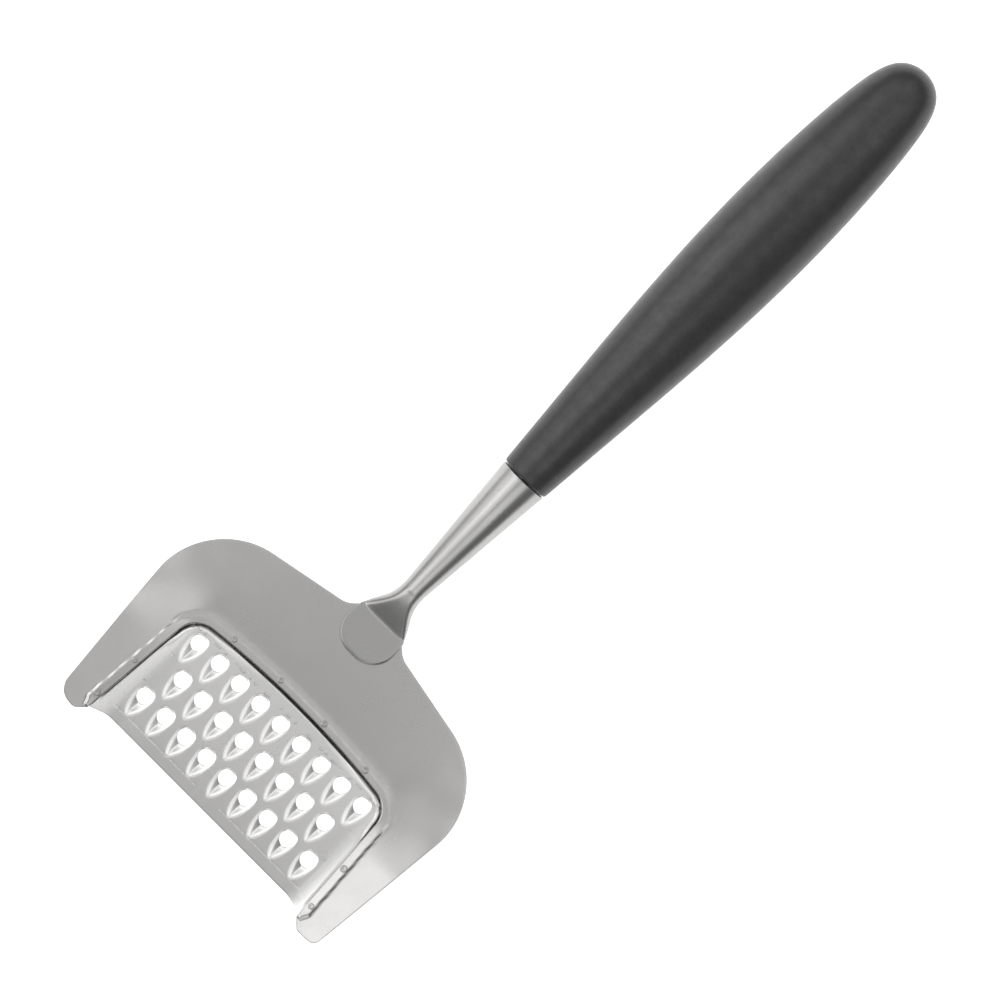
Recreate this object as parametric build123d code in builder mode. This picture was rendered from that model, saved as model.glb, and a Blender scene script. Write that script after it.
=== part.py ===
from build123d import *
from math import asin, atan2, cos, degrees, hypot, radians, sin, tan
import os

os.makedirs("parts", exist_ok=True)

# A hand cheese grater with a shallow scoop head, lying on a table as it rests.
# Lengths in millimetres, angles in degrees.
# Row frame: +Z up from the table, +Y from the handle towards the head's front.
# Head frame: y counts stations forward from the sheet's rear edge, z is square to the sheet.

# One overrun serves every cut and every oversize blank
overrun = 3.0

# Head sheet, outline in plan
sheet_thickness = 1.0
tab_half_width = 7.0
tab_length = 2.6
tab_spread = 2.6
tab_fillet = 6.0
tab_corner_radius = 0.5
shoulder_slope = 11.1
shoulder_radius = 21.0
side_half_width = 47.8
side_lean = 6.1
prong_length = 2.4
prong_outer_radius = 3.4

# Head sheet, section across the head, measured on its underside
floor_margin = 1.5
bend_radius = 20.0
wall_angle = 15.0
wall_length = 6.0
curl_radius = 12.0
lip_angle = 17.0
lip_length = 16.0

# The head's bends fade out behind the window
bend_start_station = 12.0
bend_full_station = 44.0
bend_steps = 4
flat_share = 0.04

# Window in the head sheet, open to the front
window_back_station = 28.8
window_back_sag = 2.3
window_corner_radius = 6.5
window_depth = 36.8
window_front_half_width = 35.6
window_flare = 3.7
window_mouth_angle = 45.0

# Rim of the window, stepped up so that the grater plate lies flush under it
rim_width = 2.3
rim_end_cut = 2.4
rim_end_width = 1.0

# Grater plate
plate_thickness = 0.5
rim_clearance = 0.3
plate_front_setback = 2.2
plate_ear_setback = 0.2
plate_ear_width = 4.6

# Teeth: a round mouth, and ahead of it a keeled dimple pressed down through the plate
tooth_pitch = 7.0
row_pitch = 9.2
back_row_gap = 6.5
teeth_in_long_row = 9
tooth_rows = 3
mouth_radius = 2.0
dimple_half_width = 2.4
dimple_length = 6.4
dimple_depth = 1.5
tooth_wall = 0.4

# Weld marks on the rim
weld_radius = 0.9
weld_height = 0.2
weld_sides = 12
weld_edge_slope = 55.0
weld_pitch = 15.0
welds_at_back = 4
side_weld_offset = 20.7
side_weld_pitch = 12.0
side_welds = 2

# Neck: flat pad on the sheet, flared foot, then a round cone
pad_width = 15.0
pad_thickness = 1.2
pad_length = 10.6
pad_corner_radius = 6.4
pad_edge_round = 0.3
foot_width = 13.4
foot_waist_width = 7.7
foot_waist_height = 4.4
foot_waist_share = 0.6
foot_corner_share = 0.3
waist_corner_share = 0.4
neck_corner_share = 0.98
neck_small_radius = 3.25
foot_length = 12.8
neck_length = 48.9
neck_large_radius = 6.5
neck_edge_round = 0.4
grip_angle = 17.0

# Grip: straight cone, round belly, blunt end
joint_gap = 0.3
grip_length = 137.5
grip_front_radius = 6.65
grip_front_round = 0.6
grip_belly_radius = 12.3
grip_cone_share = 0.349
grip_belly_share = 0.618
grip_tail_share = 0.83
grip_heel_share = 0.959
grip_heel_radius_share = 0.683

# Tang: steel rod fixed in the neck and in the grip
tang_radius = 2.5
tang_in_neck = 12.0
tang_in_grip = 95.0
fit_clearance = 0.05

# Places along the head, worked out from the sizes above
window_front_station = window_back_station + window_depth
prong_front_station = window_front_station + prong_length
plate_front_station = window_front_station - plate_front_setback
plate_ear_station = window_front_station - plate_ear_setback
plate_lap = rim_width - rim_clearance
first_row_station = window_back_station + back_row_gap
floor_half_width = tooth_pitch * (teeth_in_long_row - 1) / 2 + floor_margin

# Belly of the grip: an arc tangent to the cone, widest at the belly station
grip_cone_length = grip_length * grip_cone_share
belly_run = grip_length * (grip_belly_share - grip_cone_share)
cone_slope = (grip_belly_radius - grip_front_radius) / (grip_cone_length + belly_run / 2)
belly_arc_radius = belly_run / sin(atan2(cone_slope, 1))
cone_end_radius = grip_front_radius + cone_slope * grip_cone_length
belly_centre_height = belly_arc_radius * cos(atan2(cone_slope, 1)) - cone_end_radius

# Rest pose: the tool lies on the sheet's rear edge and on the belly of the grip
root_height = sheet_thickness + neck_small_radius
grip_start = neck_length + joint_gap
belly_along = grip_start + grip_cone_length + belly_run + root_height * sin(radians(grip_angle))
belly_above = belly_centre_height + root_height * cos(radians(grip_angle))
belly_far = hypot(belly_along, belly_above)
grip_rise = degrees(asin(belly_arc_radius / belly_far) - atan2(belly_above, belly_along))
rest_pitch = grip_angle - grip_rise
pitch_sin = sin(radians(rest_pitch))
pitch_cos = cos(radians(rest_pitch))
tool_back = root_height * pitch_sin + (grip_start + grip_length) * cos(radians(grip_rise))
tool_front = prong_front_station * pitch_cos
rear_edge_y = (tool_back - tool_front) / 2

head_plane = Plane(
    origin=(0, rear_edge_y, 0),
    x_dir=(1, 0, 0),
    z_dir=(0, -pitch_sin, pitch_cos),
)
section_plane = Plane(
    origin=head_plane.from_local_coords((0, -overrun, 0)),
    x_dir=(1, 0, 0),
    z_dir=(0, -pitch_cos, -pitch_sin),
)
foot_plane = Plane(
    origin=head_plane.from_local_coords((0, 0, sheet_thickness + pad_thickness / 2)),
    x_dir=(1, 0, 0),
    z_dir=(0, -pitch_cos, -pitch_sin),
)
axis_dir = Vector(0, -cos(radians(grip_rise)), sin(radians(grip_rise)))
grip_plane = Plane(
    origin=head_plane.from_local_coords((0, 0, root_height)),
    x_dir=axis_dir,
    z_dir=(-1, 0, 0),
)
blank_height = lip_length + overrun


def bend_share(station):
    """Share of the full bend at a station: next to none at the back, all of it at the front."""
    run = (station - bend_start_station) / (bend_full_station - bend_start_station)
    run = min(max(run, 0), 1)
    return flat_share + (1 - flat_share) * run**2 * (3 - 2 * run)


def section_chain(rise, share):
    """Draw the half section at a share of the full bend, raised by rise from the underside."""
    floor = Line((0, rise), (floor_half_width, rise))
    bend = JernArc(floor @ 1, floor % 1, bend_radius / share - rise, wall_angle * share)
    wall = PolarLine(bend @ 1, wall_length, angle=wall_angle * share)
    curl_turn = (lip_angle - wall_angle) * share
    curl = JernArc(wall @ 1, wall % 1, curl_radius / share - rise, curl_turn)
    lip = PolarLine(curl @ 1, lip_length, angle=lip_angle * share)
    return lip @ 1


def half_outline(low, high, share):
    """Draw the outline of the head's half section between two heights over its underside."""
    low_end = section_chain(low, share)
    high_end = section_chain(high, share)
    Line(low_end, high_end)
    Line((0, low), (0, high))


def trough(low, high):
    """Bent blank of the head, between two heights over the sheet's underside."""
    fade = bend_full_station - bend_start_station
    stations = [bend_start_station + fade * step / bend_steps for step in range(bend_steps + 1)]
    with BuildPart() as blank:
        for station in [-overrun] + stations:
            with BuildSketch(section_plane.offset(-overrun - station)):
                with BuildLine():
                    half_outline(low, high, bend_share(station))
                make_face()
        loft(ruled=True)
        with BuildSketch(section_plane.offset(-overrun - bend_full_station)):
            with BuildLine():
                half_outline(low, high, 1)
            make_face()
        extrude(amount=bend_full_station - prong_front_station - overrun)
        mirror(about=Plane.YZ)
    return blank.part


def side_x(station):
    """Half width of the head at a station, on its straight side."""
    return side_half_width + (window_back_station - station) * tan(radians(side_lean))


def window_side_x(station):
    """Half width of the window at a station, on its straight side."""
    return window_front_half_width - (window_front_station - station) * tan(radians(window_flare))


def window_face(grow, side_points):
    """Window outline, grown at its back and sides, led through the points given for its right side."""
    corner_station = window_back_station + window_back_sag - grow
    right_points = [(window_side_x(corner_station) + grow, corner_station)] + side_points
    left_points = [(-x, station) for x, station in reversed(right_points)]
    with BuildSketch() as face:
        with BuildLine():
            ThreePointArc(left_points[-1], (0, window_back_station - grow), right_points[0])
            Polyline(*right_points, *left_points)
        make_face()
        fillet(face.vertices().group_by(Axis.Y)[0], radius=window_corner_radius + grow)
    return face.sketch


def open_window():
    """The window itself, with its slanted mouth between the prongs."""
    mouth_reach = prong_length + overrun
    mouth_x = window_front_half_width + mouth_reach * tan(radians(window_mouth_angle))
    front_corner = (window_front_half_width, window_front_station)
    return window_face(0, [front_corner, (mouth_x, window_front_station + mouth_reach)])


def rimmed_window():
    """The window and its rim, whose front ends are cut on the slant."""
    cut_station = window_front_station - rim_end_cut
    cut_corner = (window_side_x(cut_station) + rim_width, cut_station)
    end_corner = (window_front_half_width + rim_end_width, window_front_station)
    return window_face(rim_width, [cut_corner, end_corner])


def plate_outline():
    """The grater plate in plan: it fills the rim's recess, and its front edge is drawn in."""
    cut_station = window_front_station - rim_end_cut
    cut_corner = (window_side_x(cut_station) + plate_lap, cut_station)
    ear_x = window_front_half_width + rim_end_width - rim_clearance
    with BuildSketch() as face:
        add(window_face(plate_lap, [cut_corner, (ear_x, plate_ear_station)]))
        with BuildLine():
            straight_x = window_front_half_width - plate_ear_width
            edge = Line((-straight_x, plate_front_station), (straight_x, plate_front_station))
            TangentArc(edge @ 1, (ear_x, plate_ear_station), tangent=edge % 1)
            TangentArc(edge @ 0, (-ear_x, plate_ear_station), tangent=-(edge % 0))
            Line((-ear_x, plate_ear_station), (ear_x, plate_ear_station))
        make_face(mode=Mode.SUBTRACT)
    return face.sketch


def keel(half_width, top, depth, rise):
    """Front half of a keeled, pointed hull: two crossing cones whose rims meet at the tip.

    half_width and depth are the hull's sizes at height top, and rise carries its walls on above top.
    """
    tip = dimple_length * half_width / dimple_half_width
    rim_radius = (half_width**2 + tip**2) / (2 * half_width)
    slope = half_width / depth
    cone_height = rise + depth + overrun * depth / dimple_length
    with BuildPart() as hull:
        for side, mode in ((-1, Mode.ADD), (1, Mode.INTERSECT)):
            with Locations((side * (rim_radius - half_width), 0, top + rise)):
                Cone(
                    bottom_radius=rim_radius + (rise - cone_height) * slope,
                    top_radius=rim_radius + rise * slope,
                    height=cone_height,
                    align=(Align.CENTER, Align.CENTER, Align.MAX),
                    mode=mode,
                )
        split(bisect_by=Plane.XZ, keep=Keep.BOTTOM)
    return hull.part


def tooth_places():
    """Mouth centres of all the teeth, as points on the head plane."""
    places = []
    for row in range(tooth_rows):
        count = teeth_in_long_row - row % 2
        station = first_row_station + row * row_pitch
        for column in range(count):
            places.append(((column - (count - 1) / 2) * tooth_pitch, station))
    return places


# A flat bead clears the rim where the rim is curled most
weld_clearance = weld_radius**2 / (2 * (curl_radius - sheet_thickness - plate_thickness))

# Where the straight shoulder and the straight side would meet
shoulder_run = tan(radians(shoulder_slope))
shoulder_start_x = tab_half_width + tab_spread
level_side_x = side_x(tab_length - shoulder_start_x * shoulder_run)
shoulder_x = level_side_x / (1 + shoulder_run * tan(radians(side_lean)))
shoulder_station = tab_length + (shoulder_x - shoulder_start_x) * shoulder_run

sheet_blank = trough(0, sheet_thickness)
rim_blank = trough(plate_thickness, plate_thickness + sheet_thickness)
plate_blank = trough(0, plate_thickness)

# Rim of the window, one plate thickness higher than the rest of the sheet
with BuildPart() as rim:
    with BuildSketch(head_plane):
        add(rimmed_window())
        add(open_window(), mode=Mode.SUBTRACT)
    extrude(amount=blank_height, both=True)
    add(rim_blank, mode=Mode.INTERSECT)

# Head sheet with its window, its two prongs and the stepped rim
with BuildPart() as head_frame:
    with BuildSketch(head_plane):
        with BuildLine():
            FilletPolyline(
                (0, 0),
                (tab_half_width, 0),
                (shoulder_start_x, tab_length),
                (shoulder_x, shoulder_station),
                (side_x(prong_front_station), prong_front_station),
                (0, prong_front_station),
                radius=(tab_corner_radius, tab_fillet, shoulder_radius, prong_outer_radius),
            )
            Line((0, prong_front_station), (0, 0))
        make_face()
        mirror(about=Plane.YZ)
    extrude(amount=blank_height, both=True)
    add(sheet_blank, mode=Mode.INTERSECT)
    with BuildSketch(head_plane):
        add(rimmed_window())
        add(open_window())
    extrude(amount=blank_height, both=True, mode=Mode.SUBTRACT)
    add(rim.part)
head_frame.part.label = "head_frame"
export_step(head_frame.part, "parts/head_frame.step")

# Grater plate: each tooth's skin is added below, then its dimple and its mouth are cut
wall_slope = dimple_half_width / dimple_depth
skin_offset = tooth_wall * hypot(1, wall_slope)
skin_top = plate_thickness / 2
skin_half_width = dimple_half_width + skin_offset - (plate_thickness - skin_top) * wall_slope
tooth_skin = keel(skin_half_width, skin_top, skin_half_width / wall_slope, 0)
tooth_dimple = keel(dimple_half_width, plate_thickness, dimple_depth, plate_thickness)
with BuildPart() as grater_plate:
    with BuildSketch(head_plane):
        add(plate_outline())
    extrude(amount=blank_height, both=True)
    add(plate_blank, mode=Mode.INTERSECT)
    with Locations(head_plane):
        with Locations(*tooth_places()):
            add(tooth_skin)
        with Locations(*tooth_places()):
            add(tooth_dimple, mode=Mode.SUBTRACT)
    with BuildSketch(head_plane):
        with Locations(*tooth_places()):
            Circle(mouth_radius)
    extrude(amount=overrun, both=True, mode=Mode.SUBTRACT)
grater_plate.part.label = "grater_plate"
export_step(grater_plate.part, "parts/grater_plate.step")

# Neck: pad, flared foot and cone in one piece, bored at the far end for the tang
waist_along = foot_length * foot_waist_share
waist_up = (foot_waist_height / 2 - neck_small_radius) * (1 - foot_waist_share)
tang_start = neck_length - tang_in_neck


def neck_section(along, up):
    """Plane square to the grip's axis, at a distance along it and a height over it."""
    return Plane(origin=grip_plane.from_local_coords((along, up)), x_dir=(1, 0, 0), z_dir=axis_dir)


with BuildPart() as neck:
    with BuildSketch(head_plane.offset(sheet_thickness)):
        with BuildLine():
            FilletPolyline(
                (0, 0),
                (foot_width / 2, 0),
                (pad_width / 2, pad_length - pad_corner_radius),
                (pad_width / 2, pad_length),
                (0, pad_length),
                radius=(pad_edge_round, pad_edge_round, pad_corner_radius - pad_edge_round),
            )
            Line((0, pad_length), (0, 0))
        make_face()
        mirror(about=Plane.YZ)
    extrude(amount=pad_thickness)
    with BuildSketch(foot_plane):
        RectangleRounded(foot_width, pad_thickness, pad_thickness * foot_corner_share)
    with BuildSketch(neck_section(waist_along, waist_up)):
        RectangleRounded(foot_waist_width, foot_waist_height, foot_waist_height * waist_corner_share)
    with BuildSketch(neck_section(foot_length, 0)):
        neck_width = 2 * neck_small_radius
        RectangleRounded(neck_width, neck_width, neck_small_radius * neck_corner_share)
    loft()
    with BuildSketch(grip_plane):
        with BuildLine():
            FilletPolyline(
                (foot_length, 0),
                (foot_length, neck_small_radius),
                (neck_length, neck_large_radius),
                (neck_length, 0),
                radius=(neck_edge_round / 2, neck_edge_round),
            )
            Line((neck_length, 0), (foot_length, 0))
        make_face()
    revolve(axis=Axis(grip_plane.origin, axis_dir))
    with BuildSketch(neck_section(tang_start, 0)):
        Circle(tang_radius + fit_clearance)
    extrude(amount=tang_in_neck + overrun, mode=Mode.SUBTRACT)
neck.part.label = "neck"
export_step(neck.part, "parts/neck.step")

# Grip, turned about its axis, with a blind bore for the tang
grip_tail_reach = grip_length * grip_tail_share
tail_angle = asin((grip_tail_reach - grip_cone_length - belly_run) / belly_arc_radius)
belly_turn = degrees(atan2(cone_slope, 1) + tail_angle)
with BuildPart() as grip:
    with BuildSketch(grip_plane):
        with BuildLine():
            front = FilletPolyline(
                (grip_start, 0),
                (grip_start, grip_front_radius),
                (grip_start + grip_cone_length, cone_end_radius),
                radius=grip_front_round,
            )
            belly = JernArc(front @ 1, front % 1, belly_arc_radius, -belly_turn)
            Spline(
                belly @ 1,
                (grip_start + grip_length * grip_heel_share, grip_belly_radius * grip_heel_radius_share),
                (grip_start + grip_length, 0),
                tangents=(belly % 1, (0, -1)),
            )
            Line((grip_start + grip_length, 0), (grip_start, 0))
        make_face()
    revolve(axis=Axis(grip_plane.origin, axis_dir))
    with BuildSketch(neck_section(grip_start, 0)):
        Circle(tang_radius + fit_clearance)
    extrude(amount=tang_in_grip, mode=Mode.SUBTRACT)
grip.part.label = "grip"
export_step(grip.part, "parts/grip.step")

# Tang, a plain rod from the bottom of one bore to the bottom of the other
with BuildPart() as tang:
    with BuildSketch(neck_section(tang_start + fit_clearance, 0)):
        Circle(tang_radius)
    extrude(amount=tang_in_neck + joint_gap + tang_in_grip - 2 * fit_clearance)
tang.part.label = "tang"
export_step(tang.part, "parts/tang.step")


def trough_seat(x, rise):
    """Height and slope angle, where the bend is full, of the surface at x raised by rise."""
    wall_rad = radians(wall_angle)
    bend = bend_radius - rise
    curl = curl_radius - rise
    wall_x = floor_half_width + bend * sin(wall_rad)
    wall_z = rise + bend * (1 - cos(wall_rad))
    curl_x = wall_x + wall_length * cos(wall_rad)
    if x <= floor_half_width:
        return rise, 0
    if x <= wall_x:
        angle = asin((x - floor_half_width) / bend)
        return rise + bend * (1 - cos(angle)), degrees(angle)
    if x <= curl_x:
        return wall_z + (x - wall_x) * tan(wall_rad), wall_angle
    angle = asin(min((x - curl_x) / curl + sin(wall_rad), sin(radians(lip_angle))))
    curl_z = wall_z + wall_length * sin(wall_rad) + curl * (cos(wall_rad) - cos(angle))
    lip_x = curl_x + curl * (sin(angle) - sin(wall_rad))
    return curl_z + (x - lip_x) * tan(angle), degrees(angle)


def weld_seat(x, station):
    """Plane just over the rim at x and a station, square to the rim's surface."""
    height, angle = trough_seat(abs(x), sheet_thickness + plate_thickness + weld_clearance)
    tilt = radians(angle) if x > 0 else -radians(angle)
    return Plane(origin=(x, station, height), x_dir=(0, 1, 0), z_dir=(-sin(tilt), 0, cos(tilt)))


def weld_planes():
    """Seats of all the weld marks: a row behind the window and a pair at each of its sides."""
    rim_middle = rim_width / 2
    seats = []
    for index in range(welds_at_back):
        x = (index - (welds_at_back - 1) / 2) * weld_pitch
        sag = window_back_sag * (x / window_side_x(window_back_station)) ** 2
        seats.append(weld_seat(x, window_back_station + sag - rim_middle))
    for index in range(side_welds):
        station = window_back_station + side_weld_offset + index * side_weld_pitch
        for side in (-1, 1):
            seats.append(weld_seat(side * (window_side_x(station) + rim_middle), station))
    return seats


# Weld marks: low beads seated on the rim, many-sided and sloped at their edge
with BuildPart() as bead:
    with BuildSketch():
        RegularPolygon(weld_radius, weld_sides)
    extrude(amount=weld_height, taper=weld_edge_slope)
with BuildPart() as plate_welds:
    with Locations(head_plane):
        with Locations(*weld_planes()):
            add(bead.part)
plate_welds.part.label = "plate_welds"
export_step(plate_welds.part, "parts/plate_welds.step")

print("rest pitch", rest_pitch, "grip rise", grip_rise, "rear edge y", rear_edge_y)
for piece in (head_frame, grater_plate, neck, grip, tang, plate_welds):
    box = piece.part.bounding_box()
    print(piece.part.label, len(piece.part.solids()), round(piece.part.volume, 1), box.min, box.max)
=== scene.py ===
"""Looks of a hand cheese grater with a shallow scoop head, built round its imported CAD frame.

Sizes are in millimetres and angles in degrees, as in the part's own source. Shapes of the head
are drawn in head coordinates: x across, y forward from the sheet's rear edge, z square to the
sheet. They are turned into the row frame, in metres, when a mesh is made.
"""
import logging
import math
from dataclasses import dataclass, field
from enum import Enum
from typing import Callable

import bpy
import numpy as np
from mathutils import Matrix, Vector


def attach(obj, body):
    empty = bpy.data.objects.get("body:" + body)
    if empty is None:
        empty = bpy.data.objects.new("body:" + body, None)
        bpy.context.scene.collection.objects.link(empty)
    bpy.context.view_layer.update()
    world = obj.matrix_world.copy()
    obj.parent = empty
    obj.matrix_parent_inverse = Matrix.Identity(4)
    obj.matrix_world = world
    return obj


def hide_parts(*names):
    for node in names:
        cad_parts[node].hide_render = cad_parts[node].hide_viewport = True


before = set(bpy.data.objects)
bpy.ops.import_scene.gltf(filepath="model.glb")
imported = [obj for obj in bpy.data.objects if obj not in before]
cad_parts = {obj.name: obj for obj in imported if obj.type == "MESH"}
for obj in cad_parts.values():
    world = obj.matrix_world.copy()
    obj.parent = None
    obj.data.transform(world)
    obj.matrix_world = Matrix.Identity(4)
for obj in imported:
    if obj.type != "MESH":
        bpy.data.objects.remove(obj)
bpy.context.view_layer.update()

MM = 0.001
BODY = "root"
# Keeps a division away from zero
TINY = 1e-12
# Distance in millimetres between points of a drawn outline
PATH_STEP = 0.25
WHITE = (1.0, 1.0, 1.0, 1.0)
LOG = logging.getLogger("grater")

Array = np.ndarray
Levels = Callable[[Array, Array], tuple[Array, Array]]
Faces = list[tuple[int, ...]]
Field = Callable[[Array, Array], Array]


class Slot(Enum):
    """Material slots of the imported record."""

    SHEET = "sheet_steel"
    PLATE = "plate_steel"
    WELD = "weld_steel"
    NECK = "neck_steel"
    ROD = "rod_steel"
    GRIP = "grip_plastic"


class Side(Enum):
    """Left and right halves of the head, as the sign of x."""

    LEFT = -1
    RIGHT = 1


# Curves and blends


def smooth_ramp(value: Array) -> Array:
    """Rise from 0 to 1 with level ends."""
    part = np.clip(value, 0.0, 1.0)
    return part * part * (3.0 - 2.0 * part)


def ramp_at(value: float) -> float:
    """Read the smooth ramp at one value."""
    return float(smooth_ramp(np.array(value)))


def soft_floor(value: Array, width: float) -> Array:
    """Give value where it is over width, 0 where it is under -width, and a parabola between."""
    near = np.clip(value, -width, width)
    return np.where(value > width, value, (near + width) ** 2 / (4.0 * width))


def soft_min(first: Array, second: Array, width: float) -> Array:
    """Give the lower of two values, rounded where they cross."""
    return first - soft_floor(first - second, width)


def path_lengths(path: Array) -> Array:
    """Give the running length at each point of a path."""
    steps = np.linalg.norm(np.diff(path, axis=0), axis=1)
    return np.concatenate([[0.0], np.cumsum(steps)])


def at_lengths(path: Array, lengths: Array) -> Array:
    """Give the points of a path at the given running lengths."""
    running = path_lengths(path)
    return np.stack([np.interp(lengths, running, path[:, i]) for i in range(path.shape[1])], 1)


def direction(path: Array, length: float) -> Array:
    """Give the unit direction of a path at a running length.

    Args:
        path: Points of the path.
        length: Running length at which it is read.

    Returns:
        The direction, of length 1.
    """
    reach = 0.05
    ends = at_lengths(path, np.array([length - reach, length + reach]))
    step = ends[1] - ends[0]
    return step / np.linalg.norm(step)


def rounded_path(legs: list[Array], radii: list[float], step: float) -> tuple[Array, list[float]]:
    """Join legs end to end, with each corner between two of them rounded.

    Args:
        legs: Paths, each of which starts where the one before it ends.
        radii: Corner radius between each leg and the next.
        step: Distance between points on the result.

    Returns:
        The joined path, and the running length at the middle of each rounded corner.
    """
    totals = [path_lengths(leg)[-1] for leg in legs]
    trims = []
    for first, second, total, radius in zip(legs, legs[1:], totals, radii):
        turn = np.dot(direction(first, total), direction(second, 0.0))
        trims.append(radius * math.tan(math.acos(np.clip(turn, -1.0, 1.0)) / 2.0))
    points = [legs[0][:1]]
    marks = []
    for index, (leg, total) in enumerate(zip(legs, totals)):
        start = trims[index - 1] if index else 0.0
        stop = total - (trims[index] if index < len(radii) else 0.0)
        count = max(2, int((stop - start) / step) + 1)
        points.append(at_lengths(leg, np.linspace(start, stop, count)[1:]))
        if index == len(radii):
            break
        begin, end = points[-1][-1], at_lengths(legs[index + 1], np.array([trims[index]]))[0]
        away, towards = direction(leg, stop), direction(legs[index + 1], trims[index])
        turn = math.acos(np.clip(np.dot(away, towards), -1.0, 1.0))
        # With handles of this length a cubic curve keeps close to the arc
        handle = 4.0 / 3.0 * math.tan(turn / 4.0) * radii[index]
        count = max(4, int(radii[index] * turn / step) + 1)
        part = np.linspace(0.0, 1.0, count)[1:, None]
        inner, outer = begin + away * handle, end - towards * handle
        curve = begin * (1 - part) ** 3 + 3 * inner * part * (1 - part) ** 2
        curve = curve + 3 * outer * part**2 * (1 - part) + end * part**3
        before = path_lengths(np.concatenate(points))[-1]
        points.append(curve)
        marks.append((before + path_lengths(np.concatenate(points))[-1]) / 2.0)
    return np.concatenate(points), marks


def matched(path: Array, stops: list[float], counts: list[int]) -> Array:
    """Sample a path so that each stretch between two stops has its own count of steps.

    Args:
        path: Points of the path.
        stops: Running lengths at which the stretches end.
        counts: Number of steps in each stretch.

    Returns:
        The sampled points.
    """
    lengths = [np.array([stops[0]])]
    for start, stop, count in zip(stops, stops[1:], counts):
        lengths.append(np.linspace(start, stop, count + 1)[1:])
    return at_lengths(path, np.concatenate(lengths))


def line(*points: tuple[float, float]) -> Array:
    """Make a path of straight runs through the given points."""
    return np.array(points, dtype=float)


def signed_distance(x: Array, y: Array, loop: Array) -> Array:
    """Measure how far points lie inside a closed loop.

    Args:
        x: The points' places across.
        y: The points' places along.
        loop: Corners of the loop.

    Returns:
        The distance from each point to the loop, negative outside it.
    """
    start, stop = loop, np.roll(loop, -1, axis=0)
    edge = stop - start
    away_x, away_y = x[:, None] - start[:, 0], y[:, None] - start[:, 1]
    size = np.maximum((edge**2).sum(1), TINY)
    share = np.clip((away_x * edge[:, 0] + away_y * edge[:, 1]) / size, 0.0, 1.0)
    gap = np.hypot(away_x - share * edge[:, 0], away_y - share * edge[:, 1]).min(1)
    spans = (start[:, 1] > y[:, None]) != (stop[:, 1] > y[:, None])
    rise = np.where(np.abs(edge[:, 1]) < TINY, TINY, edge[:, 1])
    crossed = spans & (away_x < edge[:, 0] * away_y / rise)
    return np.where(crossed.sum(1) % 2 == 1, gap, -gap)


def runs(*points: tuple[float, float]) -> list[Array]:
    """Make a straight path between each point and the next."""
    return [line(start, stop) for start, stop in zip(points, points[1:])]


def mirrored(half: Array, meets: bool = False) -> Array:
    """Close a half outline with its mirror image, where its last point may meet the middle too."""
    other = half * (-1.0, 1.0)
    return np.concatenate([half, other[-2:0:-1] if meets else other[:0:-1]])


def spline(xs: tuple[float, ...], ys: tuple[float, ...], x: Array | float) -> Array:
    """Read a smooth curve through points whose x grows, level at neither end.

    Args:
        xs: The points' places.
        ys: Their heights.
        x: Where the curve is read.

    Returns:
        The curve's height at x.
    """
    knots, values = np.array(xs), np.array(ys)
    slopes = np.gradient(values, knots)
    i = np.clip(np.searchsorted(knots, x) - 1, 0, len(knots) - 2)
    span = knots[i + 1] - knots[i]
    t = (x - knots[i]) / span
    first = (2 * t**3 - 3 * t**2 + 1) * values[i] + (t**3 - 2 * t**2 + t) * span * slopes[i]
    return first + (3 * t**2 - 2 * t**3) * values[i + 1] + (t**3 - t**2) * span * slopes[i + 1]


# Meshes


def grid_faces(rows: int, columns: int, closed: bool = False) -> Faces:
    """Give the quads of a grid of points, counted row by row.

    Args:
        rows: Number of rows of points.
        columns: Number of points in a row.
        closed: Whether the last point of a row joins its first.

    Returns:
        The quads, as tuples of point numbers.
    """
    faces = []
    for row in range(rows - 1):
        for column in range(columns if closed else columns - 1):
            following = (column + 1) % columns
            here, above = row * columns, (row + 1) * columns
            faces.append((here + column, here + following, above + following, above + column))
    return faces


def welded(points: Array, faces: Faces, gap: float) -> tuple[Array, Faces]:
    """Merge points that lie within a gap of each other, and drop faces that this closes up.

    Args:
        points: Points of the mesh or plan.
        faces: Its faces.
        gap: Size of the cells in which points count as one.

    Returns:
        The points that are left, and the faces on them.
    """
    keys = np.round(points / gap).astype(np.int64)
    _, first, back = np.unique(keys, axis=0, return_index=True, return_inverse=True)
    back = back.ravel()
    kept = []
    for face in faces:
        ring = [back[i] for i in face]
        ring = [p for i, p in enumerate(ring) if p != ring[i - 1]]
        if len(ring) > 2:
            kept.append(tuple(int(p) for p in ring))
    return points[first], kept


def turns_left(plan: Array, face: tuple[int, ...]) -> bool:
    """Tell whether a plan face runs counter-clockwise.

    Args:
        plan: Points of the plan.
        face: Point numbers of the face.

    Returns:
        Whether its corners turn left.
    """
    ring = plan[list(face)]
    following = np.roll(ring, -1, axis=0)
    return float((ring[:, 0] * following[:, 1] - following[:, 0] * ring[:, 1]).sum()) > 0.0


def area_normals(points: Array, faces: Faces) -> Array:
    """Give each point a normal weighted by the areas of its faces, so that flats stay flat.

    Args:
        points: Points of the mesh.
        faces: Its triangles and quads.

    Returns:
        A unit normal for each point.
    """
    normals = np.zeros_like(points)
    for sides in (3, 4):
        ring = np.array([face for face in faces if len(face) == sides], dtype=np.int64)
        if not len(ring):
            continue
        corner = points[ring]
        across = corner[:, sides - 2] - corner[:, 0]
        other = corner[:, sides - 1] - corner[:, 1]
        area = np.cross(across, other)
        for side in range(sides):
            np.add.at(normals, ring[:, side], area)
    length = np.maximum(np.linalg.norm(normals, axis=1, keepdims=True), TINY)
    return normals / length


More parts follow.
